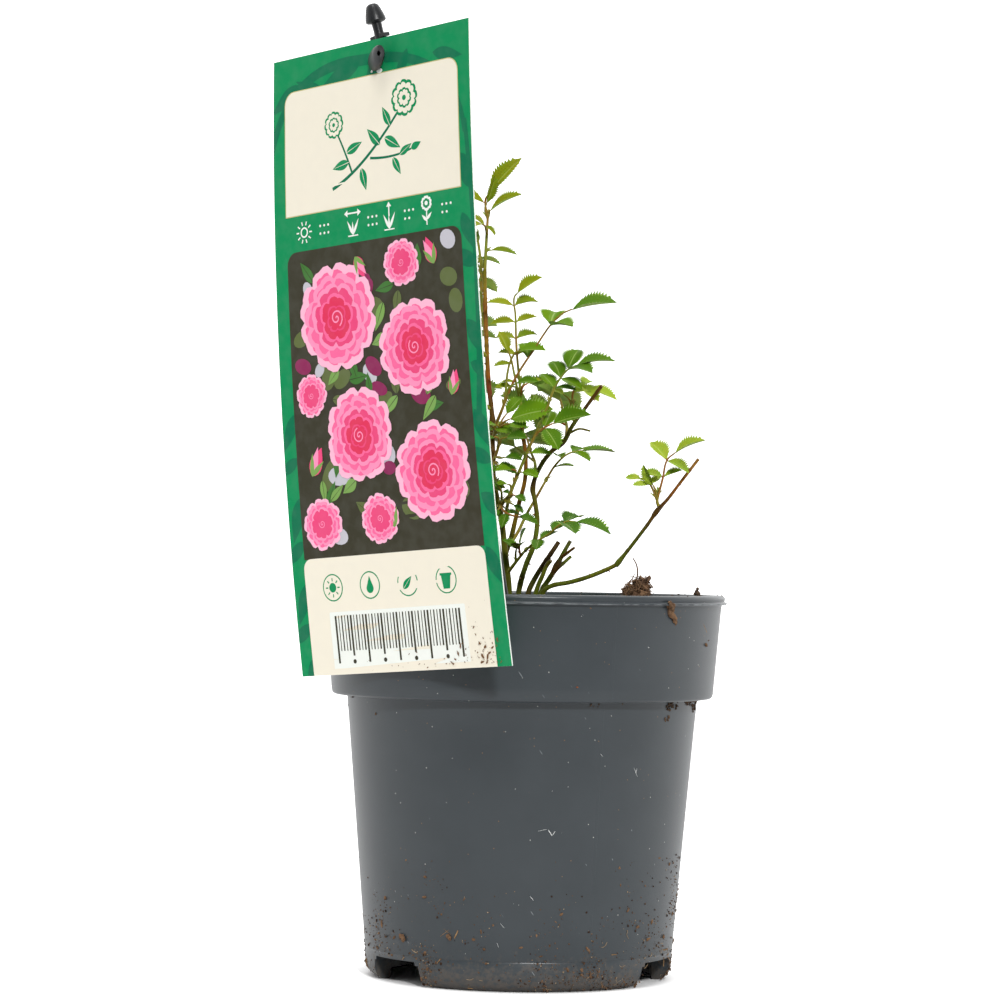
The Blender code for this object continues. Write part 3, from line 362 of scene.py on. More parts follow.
class Finish:
    """A material in the making: groups in a row, each working on the colour before it."""

    def __init__(self, name, colour, roughness, gloss=0.5):
        self.material = bpy.data.materials.new(name)
        self.material.use_nodes = True
        self.tree = self.material.node_tree
        self.shader = self.tree.nodes["Principled BSDF"].inputs
        self.shader["Roughness"].default_value = roughness
        self.shader["Specular IOR Level"].default_value = gloss
        self.colour, self.height = colour, None

    def through(self, group, relief=0.0, strength=1.0, **values):
        """Passes the colour through a group, whose other inputs are set by name. Its height
        may be added as a relief, in metres."""
        made = node(self.tree, "ShaderNodeGroup", node_tree=group)
        values["colour"] = self.colour
        for key, value in values.items():
            fed(self.tree, made.inputs[key.replace("_", " ").title()], value)
        self.colour = made.outputs["Colour"]
        if "Roughness" in made.outputs:
            self.tree.links.new(made.outputs["Roughness"], self.shader["Roughness"])
        if relief:
            self.bump(made.outputs["Height"], relief, strength)
        return self

    def mottled(self, patch, patches, amount, grain, relief=0.0, strength=1.0):
        """Soft patches of another colour; the patches and the grain are counted per metre."""
        return self.through(MOTTLE, relief, strength, patch_colour=patch,
                            patches_per_metre=patches, amount=amount, grain_per_metre=grain)

    def bump(self, height, distance, strength):
        """Adds a relief, in metres, to what is already there."""
        inputs = {"Height": height, "Distance": distance, "Strength": strength}
        if self.height:
            inputs["Normal"] = self.height
        self.height = node(self.tree, "ShaderNodeBump", inputs).outputs[0]

    def done(self):
        fed(self.tree, self.shader["Base Color"], self.colour)
        if self.height:
            self.tree.links.new(self.height, self.shader["Normal"])
        return self.material


# ======================================================================== geometry nodes


def geometry_tree(name, *inputs):
    """An empty tree with its named inputs: its tree, its inputs and the way to close it."""
    tree = bpy.data.node_groups.new(name, "GeometryNodeTree")
    for label, kind in (("Geometry", "Geometry"), *inputs, ("Material", "Material")):
        tree.interface.new_socket(label, in_out="INPUT", socket_type="NodeSocket" + kind)
    tree.interface.new_socket("Geometry", in_out="OUTPUT", socket_type="NodeSocketGeometry")
    given, out = tree.nodes.new("NodeGroupInput").outputs, tree.nodes.new("NodeGroupOutput").inputs

    def close(geometry):
        real = node(tree, "GeometryNodeRealizeInstances", {"Geometry": geometry})
        painted = node(tree, "GeometryNodeSetMaterial", {
            "Geometry": real.outputs[0], "Material": given["Material"]})
        tree.links.new(painted.outputs[0], out[0])
        return tree

    return tree, given, close


def attribute(tree, name, kind="FLOAT"):
    return node(tree, "GeometryNodeInputNamedAttribute", {"Name": name}, data_type=kind).outputs[0]


def put_on_points(tree, points, shapes, turn, size):
    """Picks a shape from the collection for each point."""
    info = node(tree, "GeometryNodeCollectionInfo", {
        "Collection": shapes, "Separate Children": True, "Reset Children": True})
    return node(tree, "GeometryNodeInstanceOnPoints", {
        "Points": points, "Instance": info.outputs[0], "Pick Instance": True,
        "Rotation": turn, "Scale": size}).outputs[0]


def tubes_tree():
    """Tubes along the edges of a mesh, as thick as its "thick" attribute says."""
    tree, given, close = geometry_tree("tubes_along_edges", ("Sides", "Int"))
    lines = node(tree, "GeometryNodeMeshToCurve", {"Mesh": given["Geometry"]})
    ring = node(tree, "GeometryNodeCurvePrimitiveCircle", {
        "Resolution": given["Sides"], "Radius": 1.0})
    return close(node(tree, "GeometryNodeCurveToMesh", {
        "Curve": lines.outputs[0], "Profile Curve": ring.outputs[0],
        "Scale": attribute(tree, "thick"), "Fill Caps": True}).outputs[0])


def chosen_tree():
    """One shape on each point: its Z axis along "way", its X axis hanging down, sized "size"."""
    tree, given, close = geometry_tree("shapes_on_points", ("Shapes", "Collection"))
    out_of_bark = node(tree, "FunctionNodeAlignRotationToVector", {
        "Vector": attribute(tree, "way", "FLOAT_VECTOR")}, axis="Z")
    hooked_down = node(tree, "FunctionNodeAlignRotationToVector", {
        "Rotation": out_of_bark.outputs[0], "Vector": -UP}, axis="X", pivot_axis="Z")
    return close(put_on_points(tree, given["Geometry"], given["Shapes"],
                               hooked_down.outputs[0], attribute(tree, "size")))


def scattered_tree():
    """Shapes strewn over faces by their "cover" attribute, turned and sized at random."""
    tree, given, close = geometry_tree(
        "shapes_over_faces", ("Shapes", "Collection"), ("Per Square Metre", "Float"),
        ("Smallest", "Float"), ("Largest", "Float"), ("Seed", "Int"))
    points = node(tree, "GeometryNodeDistributePointsOnFaces", {
        "Mesh": given["Geometry"], "Seed": given["Seed"],
        "Density": maths(tree, "MULTIPLY", given["Per Square Metre"], attribute(tree, "cover"))})
    turn = node(tree, "FunctionNodeRandomValue", {
        0: (0.0, 0.0, 0.0), 1: (tau, tau, tau), "Seed": given["Seed"]},
        data_type="FLOAT_VECTOR")
    share = node(tree, "FunctionNodeRandomValue", {"Seed": given["Seed"]}, data_type="FLOAT")
    size = ramp(tree, maths(tree, "POWER", share.outputs[1], 2.2), 0.0, 1.0,
                given["Smallest"], given["Largest"])
    return close(put_on_points(tree, points.outputs[0], given["Shapes"], turn.outputs[0], size))


TUBES, CHOSEN, SCATTERED = tubes_tree(), chosen_tree(), scattered_tree()


def grown(name, mesh, tree, **values):
    """A plain piece made from the mesh by a geometry tree."""
    piece = new_object(name, mesh)
    maker = piece.modifiers.new("maker", "NODES")
    maker.node_group = tree
    for socket in tree.interface.items_tree:
        key = socket.name.lower().replace(" ", "_")
        if socket.in_out == "INPUT" and key in values:
            maker[socket.identifier] = values[key]
    return applied(piece)


def tubes(name, routes, sides, material):
    """Tubes along each route, a list of (points, radii)."""
    verts, edges, thick = [], [], []
    for points, radii in routes:
        first = len(verts)
        verts += points
        thick += radii
        edges += [(first + i, first + i + 1) for i in range(len(points) - 1)]
    mesh = mesh_of(name, verts, [], edges=edges)
    mesh.attributes.new("thick", "FLOAT", "POINT").data.foreach_set("value", thick)
    return grown(name, mesh, TUBES, sides=sides, material=material)


def placed(name, spots, shapes, material):
    """A shape from the set at each spot, which is (place, way, size)."""
    mesh = mesh_of(name, [spot[0] for spot in spots], [])
    ways = mesh.attributes.new("way", "FLOAT_VECTOR", "POINT")
    ways.data.foreach_set("vector", [c for spot in spots for c in spot[1]])
    mesh.attributes.new("size", "FLOAT", "POINT").data.foreach_set("value", [s[2] for s in spots])
    return grown(name, mesh, CHOSEN, shapes=shapes, material=material)


def strew(skin, nodes, kinds, cover=lambda place: 1.0):
    """Strews crumbs over a skin, as thick as the cover says. Each kind has its name, shapes,
    thousands per square metre, least and greatest size, seed and material."""
    values = [max(0.0, cover(vert.co)) for vert in skin.vertices]
    skin.attributes.new("cover", "FLOAT", "POINT").data.foreach_set("value", values)
    for name, shapes, thousands, least, most, seed, material in kinds:
        piece = grown(name, skin.copy(), SCATTERED, shapes=shapes,
                      per_square_metre=thousands * 1000.0, smallest=least * MM,
                      largest=most * MM, seed=seed, material=material)
        for vert in piece.data.vertices:
            vert.co.z = max(vert.co.z, 0.00002)  # nothing reaches below the floor
        finish_piece(piece, nodes, angle=30.0)


def shape_set(name, meshes):
    """A collection of hidden shapes of unit size for the geometry trees to pick from."""
    group = bpy.data.collections.new(name)
    for index, mesh in enumerate(meshes):
        group.objects.link(bpy.data.objects.new(f"{name}_{index}", mesh))
    return group


def crumb_shapes(name, count, stretch, seed, faces=1):
    """Broken irregular grains, longer than they are wide by the stretch."""
    rng = random.Random(seed)
    meshes = []
    for index in range(count):
        bm = bmesh.new()
        bmesh.ops.create_icosphere(bm, subdivisions=faces, radius=0.5)
        longer = rng.uniform(1.0, stretch)
        flat = rng.uniform(0.5, 1.0)
        for vert in bm.verts:
            vert.co.x, vert.co.y = vert.co.x * longer, vert.co.y * flat
            vert.co *= rng.uniform(0.65, 1.1)
        meshes.append(written(bm, f"{name}_{index}"))
    return shape_set(name, meshes)


# ======================================================================== the pot

POT_HEIGHT, POT_SIDES = 0.1223, 192
LIP_RADIUS, LIP_FOOT = 0.065, POT_HEIGHT - 0.0029
COLLAR_TOP, COLLAR_FOOT = 0.0633, 0.0608  # radii
COLLAR_BOTTOM = 0.0894
BODY_TOP, BODY_FOOT = 0.0559, 0.0482  # radii
WALL, FLOOR = 0.0012, 0.0090
NOTCHES, NOTCH_TURN = 3, radians(-23.5)
NOTCH_WIDTH, NOTCH_HEIGHT, NOTCH_TAPER, NOTCH_DEPTH = 0.0270, 0.0078, 0.86, 0.016
DRAINS, DRAIN_RADIUS, DRAIN_CIRCLE = 6, 0.0042, 0.031
# The band of painted highlight along the lip's lower edge: its height and half width.
LIP_HIGHLIGHT_HEIGHT, LIP_HIGHLIGHT_HALF = LIP_FOOT + 0.0002, 0.00018
SEAM_TURN, SEAM_HALF = radians(-63.5), 0.008


def wall_radius(z):
    """The outer radius of the pot's tapered body at this height."""
    return BODY_FOOT + (BODY_TOP - BODY_FOOT) * z / COLLAR_BOTTOM


HEEL_RADIUS, HEEL_HEIGHT = 0.0438, 0.0052
HEEL_REACH = wall_radius(HEEL_HEIGHT) - HEEL_RADIUS


def heel_radius(z):
    """The same, rounded in at the foot."""
    if z >= HEEL_HEIGHT:
        return wall_radius(z)
    return HEEL_RADIUS + HEEL_REACH * sqrt(max(1 - (1 - z / HEEL_HEIGHT) ** 2, 0.0))


def arc(r, z, radius, first, last, steps):
    """Profile points round a small corner, the turn in degrees from outwards."""
    for a in tapered(radians(first), radians(last), steps + 1):
        yield r + radius * cos(a), z + radius * sin(a)


def pot_profile():
    """Down the inside from the floor's middle, over the lip and down the outside."""
    inner = COLLAR_TOP - WALL
    yield from (
        (0.0, FLOOR), (wall_radius(FLOOR) - WALL, FLOOR), (BODY_TOP - WALL, COLLAR_BOTTOM - WALL),
        (BODY_TOP - WALL, COLLAR_BOTTOM + WALL), (COLLAR_FOOT - WALL, COLLAR_BOTTOM + 2 * WALL),
        (inner, POT_HEIGHT - 0.0009))
    yield from arc(inner + 0.0007, POT_HEIGHT - 0.0007, 0.0007, 180, 90, 4)
    yield from arc(LIP_RADIUS - 0.0017, POT_HEIGHT - 0.0011, 0.0011, 90, 0, 6)
    yield LIP_RADIUS - 0.0008, LIP_FOOT + 0.0010
    yield from arc(LIP_RADIUS - 0.0004, LIP_FOOT + 0.0004, 0.0004, 110, -90, 8)
    yield from ((COLLAR_TOP + 0.0003, LIP_FOOT), (COLLAR_TOP + 0.00005, LIP_FOOT - 0.0003))
    for share in (0.08, 0.3, 0.6, 0.85, 0.95):
        yield (COLLAR_TOP + (COLLAR_FOOT - COLLAR_TOP) * share,
               LIP_FOOT + (COLLAR_BOTTOM - LIP_FOOT) * share)
    yield from arc(COLLAR_FOOT - 0.0012, COLLAR_BOTTOM + 0.0012, 0.0012, 0, -90, 5)
    yield from arc(BODY_TOP + 0.0005, COLLAR_BOTTOM - 0.0005, 0.0005, 90, 180, 3)
    for z in (0.080, 0.060, 0.040, 0.020, FLOOR + 0.0009):
        yield wall_radius(z), z
    yield from ((wall_radius(FLOOR) - 0.00012, FLOOR + 0.0004), (wall_radius(FLOOR), FLOOR))
    for turn in tapered(0.0, pi / 2, 9):
        yield HEEL_RADIUS + HEEL_REACH * cos(turn), HEEL_HEIGHT * (1 - sin(turn))
    yield from ((HEEL_RADIUS - 0.0007, 0.0), (HEEL_RADIUS - WALL, 0.0005),
                (HEEL_RADIUS - WALL, FLOOR - WALL), (0.0, FLOOR - WALL))


def notch_cutter():
    """A block that narrows upwards, its upper edges rounded."""
    bm = bmesh.new()
    bmesh.ops.create_cube(bm, size=1.0)
    for vert in bm.verts:
        upper = vert.co.z > 0
        vert.co.x *= NOTCH_DEPTH
        vert.co.y *= NOTCH_WIDTH * (NOTCH_TAPER if upper else 1.0)
        vert.co.z = NOTCH_HEIGHT if upper else -0.002
    tops = [e for e in bm.edges if abs(e.verts[0].co.y + e.verts[1].co.y) > 0.001
            and min(v.co.z for v in e.verts) > 0]
    bmesh.ops.bevel(bm, geom=tops, offset=0.0012, segments=4, affect="EDGES")
    return bm


def drain_cutter():
    bm = bmesh.new()
    bmesh.ops.create_cone(bm, cap_ends=True, segments=32, radius1=DRAIN_RADIUS, depth=0.006,
                          radius2=DRAIN_RADIUS, matrix=Matrix.Translation((0, 0, FLOOR - WALL / 2)))
    return bm


def pot_cutters():
    """The notches round the foot and the drain holes in the floor."""
    for make, count, reach, first in ((notch_cutter, NOTCHES, HEEL_RADIUS, 0.0),
                                      (drain_cutter, DRAINS, DRAIN_CIRCLE, 0.5)):
        for turn in turns(count, NOTCH_TURN + first * tau / count):
            bm = make()
            bmesh.ops.rotate(bm, verts=bm.verts, matrix=Matrix.Rotation(turn, 3, "Z"))
            bmesh.ops.translate(bm, verts=bm.verts, vec=around(reach, turn))
            yield new_object("cutter", written(bm, "cutter"))


def slate_plastic():
    finish = Finish("slate_plastic", linear(54, 60, 64), 0.33)
    finish.mottled(linear(47, 53, 57), 55.0, 0.55, 5200.0, 0.00003, 0.5)
    finish.through(SCRATCHES, 0.00003, 0.6, scratch_colour=linear(150, 155, 158), scale=330.0,
                   amount=0.55)
    for colour, count, size, rare in ((linear(176, 176, 170), 620.0, 0.11, 0.955),
                                      (linear(120, 92, 62), 760.0, 0.13, 0.94)):
        finish.through(SPECKS, speck_colour=colour, specks_per_metre=count, size=size, rare=rare)
    finish.through(DUST, dust_colour=linear(104, 88, 72), reach=0.012, amount=0.36,
                   patches_per_metre=620.0, roughness=0.33)
    # A painted highlight: a pale band, in patches, just above the lip's foot; and a mould seam runs
    # up the side.
    tree = finish.tree
    x, y, z = node(tree, "ShaderNodeSeparateXYZ", {"Vector": object_place(tree)}).outputs
    # Painted highlight: this pale band stands in for light caught on the lip's lower bead.
    highlight_band = maths(tree, "COMPARE", z, LIP_HIGHLIGHT_HEIGHT, LIP_HIGHLIGHT_HALF)
    highlight_patches = ramp(tree, noise_at(tree, object_place(tree), 260.0, 2.0), 0.36, 0.60, last=0.50)
    finish.colour = blended(tree, maths(tree, "MULTIPLY", highlight_band, highlight_patches), finish.colour,
                            linear(150, 155, 158))
    angle = maths(tree, "ARCTAN2", y, x)
    finish.bump(maths(tree, "COMPARE", angle, SEAM_TURN, SEAM_HALF), 0.00006, 0.5)
    return finish.done()


def build_pot():
    mesh = turned_out(mesh_of("nursery_pot", *lathe(list(pot_profile()), POT_SIDES)))
    pot = new_object("nursery_pot", mesh)
    cut(pot, list(pot_cutters()))
    pot.data.materials.clear()
    finish_piece(pot, ["pot"], [slate_plastic()], 32.0)


# ======================================================================== compost


def soil(name, colour, patch, relief=0.0006):
    finish = Finish(name, linear(*colour), 0.95, gloss=0.25)
    return finish.mottled(linear(*patch), 420.0, 0.8, 1900.0, relief, 0.8).done()


SOIL_DARK = soil("soil_dark", (62, 44, 33), (34, 24, 18))
SOIL_BROWN = soil("soil_brown", (98, 78, 62), (60, 47, 38))
BARK_CHIP = soil("bark_chip", (120, 92, 68), (68, 49, 36), 0.0003)
STRAW = soil("dry_fibre", (158, 126, 88), (110, 80, 52), 0.0002)
SOIL_PALE = soil("soil_pale", (168, 146, 116), (120, 98, 72), 0.0002)

GRAINS = crumb_shapes("grain", 6, 1.7, 11)
CHIPS = crumb_shapes("chip", 5, 3.2, 12)
CHUNKS = crumb_shapes("chunk", 4, 1.8, 13, 2)

COMPOST_CROWN, CROWN_RADIUS, COMPOST_EDGE = 0.1205, 0.019, 0.1172
COMPOST_RADIUS = COLLAR_TOP - WALL - 2 * GAP
COMPOST_SIDES, COMPOST_ROWS, ROOT_FIBRES = 120, 44, 260


def soil_height(x, y):
    """The height of the compost's surface: crowned under the canes, uneven all over."""
    share = (hypot(x, y) - CROWN_RADIUS) / (COMPOST_RADIUS - CROWN_RADIUS)
    fall = (COMPOST_EDGE - COMPOST_CROWN) * min(max(share, 0.0), 1.0) ** 0.8 - 0.0012
    lumps = noise.noise(Vector((x, y, 0.0)) * 260.0) * 0.0011
    grit = noise.noise(Vector((x, y, 0.4)) * 900.0) * 0.0005
    return COMPOST_CROWN + fall + lumps + grit


def build_compost():
    """The root ball with an uneven top, closed down its sides and underneath."""
    inside = WALL + GAP
    profile = [(COMPOST_RADIUS * row / COMPOST_ROWS, 0.0) for row in range(COMPOST_ROWS + 1)]
    profile += [
        (COLLAR_FOOT - inside, COLLAR_BOTTOM + 2 * inside),
        (BODY_TOP - inside, COLLAR_BOTTOM + inside + GAP),
        (BODY_TOP - inside, COLLAR_BOTTOM - WALL),
        (wall_radius(FLOOR) - inside, FLOOR + GAP), (0.0, FLOOR + GAP)]
    verts, faces = lathe(profile, COMPOST_SIDES)
    top_verts = verts[: 1 + COMPOST_ROWS * COMPOST_SIDES]
    for vert in top_verts:
        vert.z = soil_height(vert.x, vert.y)
    faces = [tuple(reversed(face)) for face in faces]
    finish_piece(new_object("compost_ball", mesh_of("compost", verts, faces)), ["compost"],
                 [SOIL_DARK], 60.0)
    top_faces = [face for face in faces if max(face) < 1 + (COMPOST_ROWS - 1) * COMPOST_SIDES]
    strew(mesh_of("soil_top", top_verts, top_faces), ["compost"], (
        ("soil_grains", GRAINS, 330, 0.5, 1.9, 1, SOIL_DARK),
        ("soil_crumbs", GRAINS, 120, 0.6, 2.4, 2, SOIL_BROWN),
        ("bark_chips", CHIPS, 26, 1.0, 3.4, 3, BARK_CHIP),
        ("pale_grit", GRAINS, 16, 0.4, 1.2, 4, SOIL_PALE)))

    rng = random.Random(21)
    routes = []
    for _ in range(ROOT_FIBRES):
        turn, reach = rng.uniform(0, tau), 0.058 * sqrt(rng.random())
        way, length = rng.uniform(0, tau), rng.uniform(0.003, 0.010)
        points = []
        for i in range(5):
            point = around(reach, turn) + around((i / 4 - 0.5) * length, way)
            point.x += rng.uniform(-0.0004, 0.0004)
            point.y += rng.uniform(-0.0004, 0.0004)
            if point.length > COMPOST_RADIUS - 0.001:
                break
            point.z = soil_height(point.x, point.y) + rng.uniform(0.0001, 0.0007)
            points.append(point)
        if len(points) > 2:
            points = smooth_route(points, 2)
            routes.append((points, [rng.uniform(0.00006, 0.00018)] * len(points)))
    finish_piece(tubes("root_fibres", routes, 5, STRAW), ["compost"])


CLOD_HALF = (0.0051, 0.0045, 0.0064)
CLOD_FOOT = Vector((0.0350, -0.0410, 0.1172))
CLOD_ROOTS = 520
CLOD_CENTRE = CLOD_FOOT + UP * CLOD_HALF[2] * 0.86
ROOT_CURL = ((34.6, -41.0, 126.2), (35.1, -41.1, 129.3), (34.7, -41.2, 131.8), (33.6, -41.2, 133.8))


def clod_place(shares):
    """A place in the lump from shares of its half sizes. It leans: low and spread to its
    left, pulled up to a point on its right."""
    place = Vector([share * half for share, half in zip(shares, CLOD_HALF)])
    return place + Vector((0.30 * place.z - 0.0003, 0.0, 0.22 * place.x)) + CLOD_CENTRE


def build_clod():
    """A lump of matted roots and bark that sits up behind the rim."""
    bm = bmesh.new()
    bmesh.ops.create_icosphere(bm, subdivisions=4, radius=1.0)
    for vert in bm.verts:
        rough = 0.60 + 0.50 * noise.noise(vert.co * 1.9) + 0.22 * noise.noise(vert.co * 5.0)
        vert.co = clod_place(vert.co * rough)
        vert.co.z = max(vert.co.z, CLOD_FOOT.z)
    core = written(bm, "clod")
    skin = core.copy()
    finish_piece(new_object("clod_core", core), ["root_clod"], [SOIL_DARK], 60.0)
    strew(skin, ["root_clod"], (
        ("clod_crumbs", CHUNKS, 500, 0.4, 1.4, 6, SOIL_DARK),
        ("clod_bark", CHIPS, 420, 0.8, 3.0, 7, BARK_CHIP),
        ("clod_grit", GRAINS, 400, 0.4, 1.1, 8, SOIL_BROWN)))

    # Fine roots: a mat of short ones all through the lump, and one that curls up out of it.
    rng = random.Random(5)
    curl = smooth_route([place_of(place) for place in ROOT_CURL], 6)
    routes = [(curl, tapered(0.00030, 0.00019, len(curl)))]
    for _ in range(CLOD_ROOTS):
        points = [clod_place([rng.gauss(0.0, 0.42) for _ in range(3)])]
        way = Vector((rng.gauss(0.3, 1), rng.gauss(0, 1), rng.gauss(0.5, 0.8))).normalized()
        for _ in range(rng.randint(3, 5)):
            way = (way + Vector([rng.uniform(-0.25, 0.25) for _ in range(3)])).normalized()
            step = points[-1] + way * rng.uniform(0.0006, 0.0015)
            near = Vector([away / half for away, half in zip(step - CLOD_CENTRE, CLOD_HALF)])
            if near.length > 1.0 or step.z < CLOD_FOOT.z - 0.0004:
                break
            points.append(step)
        if len(points) > 2:
            points = smooth_route(points, 2)
            routes.append((points, tapered(rng.uniform(0.00014, 0.00034), 0.00010, len(points))))
    finish_piece(tubes("clod_roots", routes, 5, BARK_CHIP), ["root_clod"])


# ======================================================================== the label

CARD_WIDTH, CARD_LENGTH = 0.0876, 0.1941
CARD_THICKNESS = 0.0008
PRINT_DEPTH = 0.00034  # the print lies in front of the card's own face
LAYER = 0.000022  # between one layer of the print and the next
CARD_TOP = Vector((-0.0505, -0.0497, 0.2915))
CARD_TURN, CARD_TWIST = radians(42.9), radians(-3.3)
CARD_ROLL = radians(3.96)
CARD_LEAN, CARD_BEND = radians(2.4), radians(-8.8)
CARD_ROWS, CARD_COLUMNS = 12, 8
EYELET_DROP = 0.0068
EYELET_ACROSS = 0.042  # of the card's width
EYELET_RADIUS = 0.0024
PRINT_MARGIN = 0.15  # in millimetres, bare along the card's long edges
SOIL_FLECKS = 95


def card_axes(share):
    """The card's across, along and outward directions at this share of its length."""
    turn = CARD_TURN + CARD_TWIST * (share - 0.5)
    level = around(1.0, -turn)
    out = Vector((-sin(turn), -cos(turn), 0.0))
    across = level * cos(CARD_ROLL) + UP * sin(CARD_ROLL)
    down = level * sin(CARD_ROLL) - UP * cos(CARD_ROLL)
    lean = CARD_LEAN + CARD_BEND * share
    return across, down * cos(lean) + out * sin(lean), out


CARD_MIDDLE = [CARD_TOP]  # points down the middle of the card's front face
for row in range(CARD_ROWS):
    step = card_axes((row + 0.5) / CARD_ROWS)[1] * CARD_LENGTH / CARD_ROWS
    CARD_MIDDLE.append(CARD_MIDDLE[-1] + step)


def card_point(across_share, drop, back=0.0):
    """A point on the card, across it from -0.5 to 0.5, down from its top and behind its face."""
    share = drop / CARD_LENGTH
    row = min(max(int(share * CARD_ROWS), 0), CARD_ROWS - 1)
    middle = CARD_MIDDLE[row].lerp(CARD_MIDDLE[row + 1], share * CARD_ROWS - row)
    across, _, out = card_axes(share)
    return middle + across * across_share * CARD_WIDTH - out * back


EYELET = card_point(EYELET_ACROSS, EYELET_DROP)
CARD_ACROSS, _, CARD_OUT = card_axes(0.0)


def facing(place, direction):
    """A matrix that puts a form's Z axis along the direction at the place, and its X axis
    near the card's across direction."""
    depth = direction.cross(CARD_ACROSS).normalized()
    axes = Matrix((depth.cross(direction), depth, direction)).transposed()
    return Matrix.Translation(place) @ axes.to_4x4()


# The print is drawn in millimetres, across from the card's left edge and down from its top.
INKS = {
    "green": (0, 140, 84), "deep_green": (0, 112, 76), "cream": (240, 233, 215),
    "gilt": (205, 196, 140), "white": (240, 243, 236), "ground": (58, 56, 42),
    "mist": (196, 194, 202), "olive": (96, 108, 62), "leaf": (66, 118, 52),
    "light_leaf": (124, 164, 84), "plum": (140, 42, 88), "rose_heart": (226, 54, 92),
    "rose_deep": (236, 74, 126), "rose": (249, 106, 158), "rose_light": (252, 148, 188),
    "rose_pale": (255, 186, 212), "soil": (112, 78, 46),
}
CARD_RIGHT, CARD_FOOT = CARD_WIDTH / MM, CARD_LENGTH / MM


def turned(points, turn, u, v):
    """Flat points turned about the origin and moved to (u, v)."""
    c, s = cos(turn), sin(turn)
    return [(u + x * c - y * s, v + x * s + y * c) for x, y in points]


def mirrored(half):
    """A closed outline from one edge of it, each point a way along and a way to the side."""
    return half + [(t, -w) for t, w in reversed(half) if w > 1e-9]


class Drawing:
    """Flat shapes in layers, each in the pen's ink, cut into bands and laid on the card."""

    def __init__(self):
        self.bm = bmesh.new()

    def pen(self, ink, layer):
        self.ink, self.layer = ink, layer
        return self

    def shape(self, points):
        # Each shape lies a hair above the one before, so that none shadows its neighbour.
        level = self.layer + 0.02 * (len(self.bm.faces) % 40)
        face = self.bm.faces.new([self.bm.verts.new((u, v, level)) for u, v in points])
        face.material_index = list(INKS).index(self.ink)
        if len(points) > 4:
            bmesh.ops.triangulate(self.bm, faces=[face], ngon_method="EAR_CLIP")

    def panel(self, left, top, right, bottom, radius):
        """A panel whose top corners are rounded."""
        points = [(left, bottom), (right, bottom)]
        for u, first in ((right - radius, 0), (left + radius, 90)):
            points += [(x, 2 * (top + radius) - y)
                       for x, y in arc(u, top + radius, radius, first, first + 90, 6)]
        self.shape(points)

    def disc(self, u, v, radius, sides=18, flat=1.0, turn=0.0):
        self.shape(turned([(radius * cos(a), radius * flat * sin(a)) for a in turns(sides)],
                          turn, u, v))

    def stroke(self, points, *widths):
        """A line that changes evenly from its first width to its last."""
        sides = []
        for i, wide in enumerate(tapered(widths[0], widths[-1], len(points))):
            (a, b), (c, d) = points[max(i - 1, 0)], points[min(i + 1, len(points) - 1)]
            (u, v), size = points[i], hypot(c - a, d - b) or 1.0
            du, dv = (c - a) / size * wide / 2, (d - b) / size * wide / 2
            sides.append(((u - dv, v + du), (u + dv, v - du)))
        for (a, b), (c, d) in zip(sides, sides[1:]):
            self.shape([a, b, d, c])

    def curve(self, start, bend, end, *widths):
        shares = tapered(0.0, 1.0, 15)
        self.stroke([tuple((1 - t) ** 2 * a + 2 * t * (1 - t) * b + t * t * c
                           for a, b, c in zip(start, bend, end)) for t in shares], *widths)

    def rays(self, u, v, count, inner, outer, width):
        for turn in turns(count):
            self.stroke(turned([(inner, 0.0), (outer, 0.0)], turn, u, v), width)

    def leaf(self, u, v, length, width, angle, vein=None):
        """A pointed leaf from its root at (u, v), pointing at the angle in degrees."""
        a = radians(angle)
        half = [(t * length, width / 2 * sin(pi * t ** 0.8) * (1 - 0.25 * t))
                for t in (0.0, 0.08, 0.18, 0.3, 0.42, 0.55, 0.68, 0.8, 0.9, 1.0)]
        self.shape(turned(mirrored(half), a, u, v))
        if vein:
            kept = self.ink, self.layer
            self.pen(vein, self.layer + 1).stroke(
                turned([(0.0, 0.0), (length * 0.88, 0.0)], a, u, v), length * 0.03, length * 0.01)
            self.pen(*kept)

    def petal(self, u, v, reach, width, angle, notch=0.10):
        """A petal seen from its front: broad, round and a little notched at its end."""
        half = ((0.0, 0.10), (0.25, 0.55), (0.55, 0.92), (0.78, 1.0), (0.92, 0.82),
                (0.995, 0.52), (1.0, 0.25), (1.0 - notch, 0.0))
        self.shape(turned(mirrored([(t * reach, w * width / 2) for t, w in half]),
                          radians(angle), u, v))

    def bloom(self, u, v, radius, seed, layer, rings=5):
        """A many-petalled rose from its front: each ring of petals is a shade deeper and
        shows a lighter rim round a darker fold."""
        rng = random.Random(seed)
        rims = ("rose_pale", "rose_light", "rose_light", "rose", "rose_deep")
        folds = ("rose", "rose", "rose_deep", "rose_heart", "rose_heart")
        for ring in range(rings):
            reach = radius * (1.0 - 0.19 * ring)
            count = 8 - ring
            start = rng.uniform(0, 360)
            for i in range(count):
                angle = start + 360 / count * i + rng.uniform(-6, 6)
                long = reach * rng.uniform(0.90, 1.0)
                broad = 2.0 * reach * sin(pi / count) * 1.12
                self.pen(rims[ring], layer + 2 * ring).petal(u, v, long, broad, angle)
                self.pen(folds[ring], layer + 2 * ring + 1).petal(
                    u, v, long * 0.88, broad * 0.78, angle + rng.uniform(-4, 4), 0.16)
        points = []
        for i in range(26):
            a, out = radians(start) + i * 0.42, radius * 0.17 * i / 26
            points.append((u + out * cos(a), v + out * sin(a)))
        self.pen("rose_light", layer + 2 * rings).stroke(points, radius * 0.028)

    def bud(self, u, v, length, angle, layer):
        self.pen("rose_deep", layer).leaf(u, v, length, length * 0.62, angle)
        self.pen("rose_light", layer + 1).leaf(u, v, length * 0.96, length * 0.34, angle - 9)
        for side in (-24, 22):
            self.pen("light_leaf", layer + 2).leaf(u, v, length * 0.72, length * 0.20, angle + side)

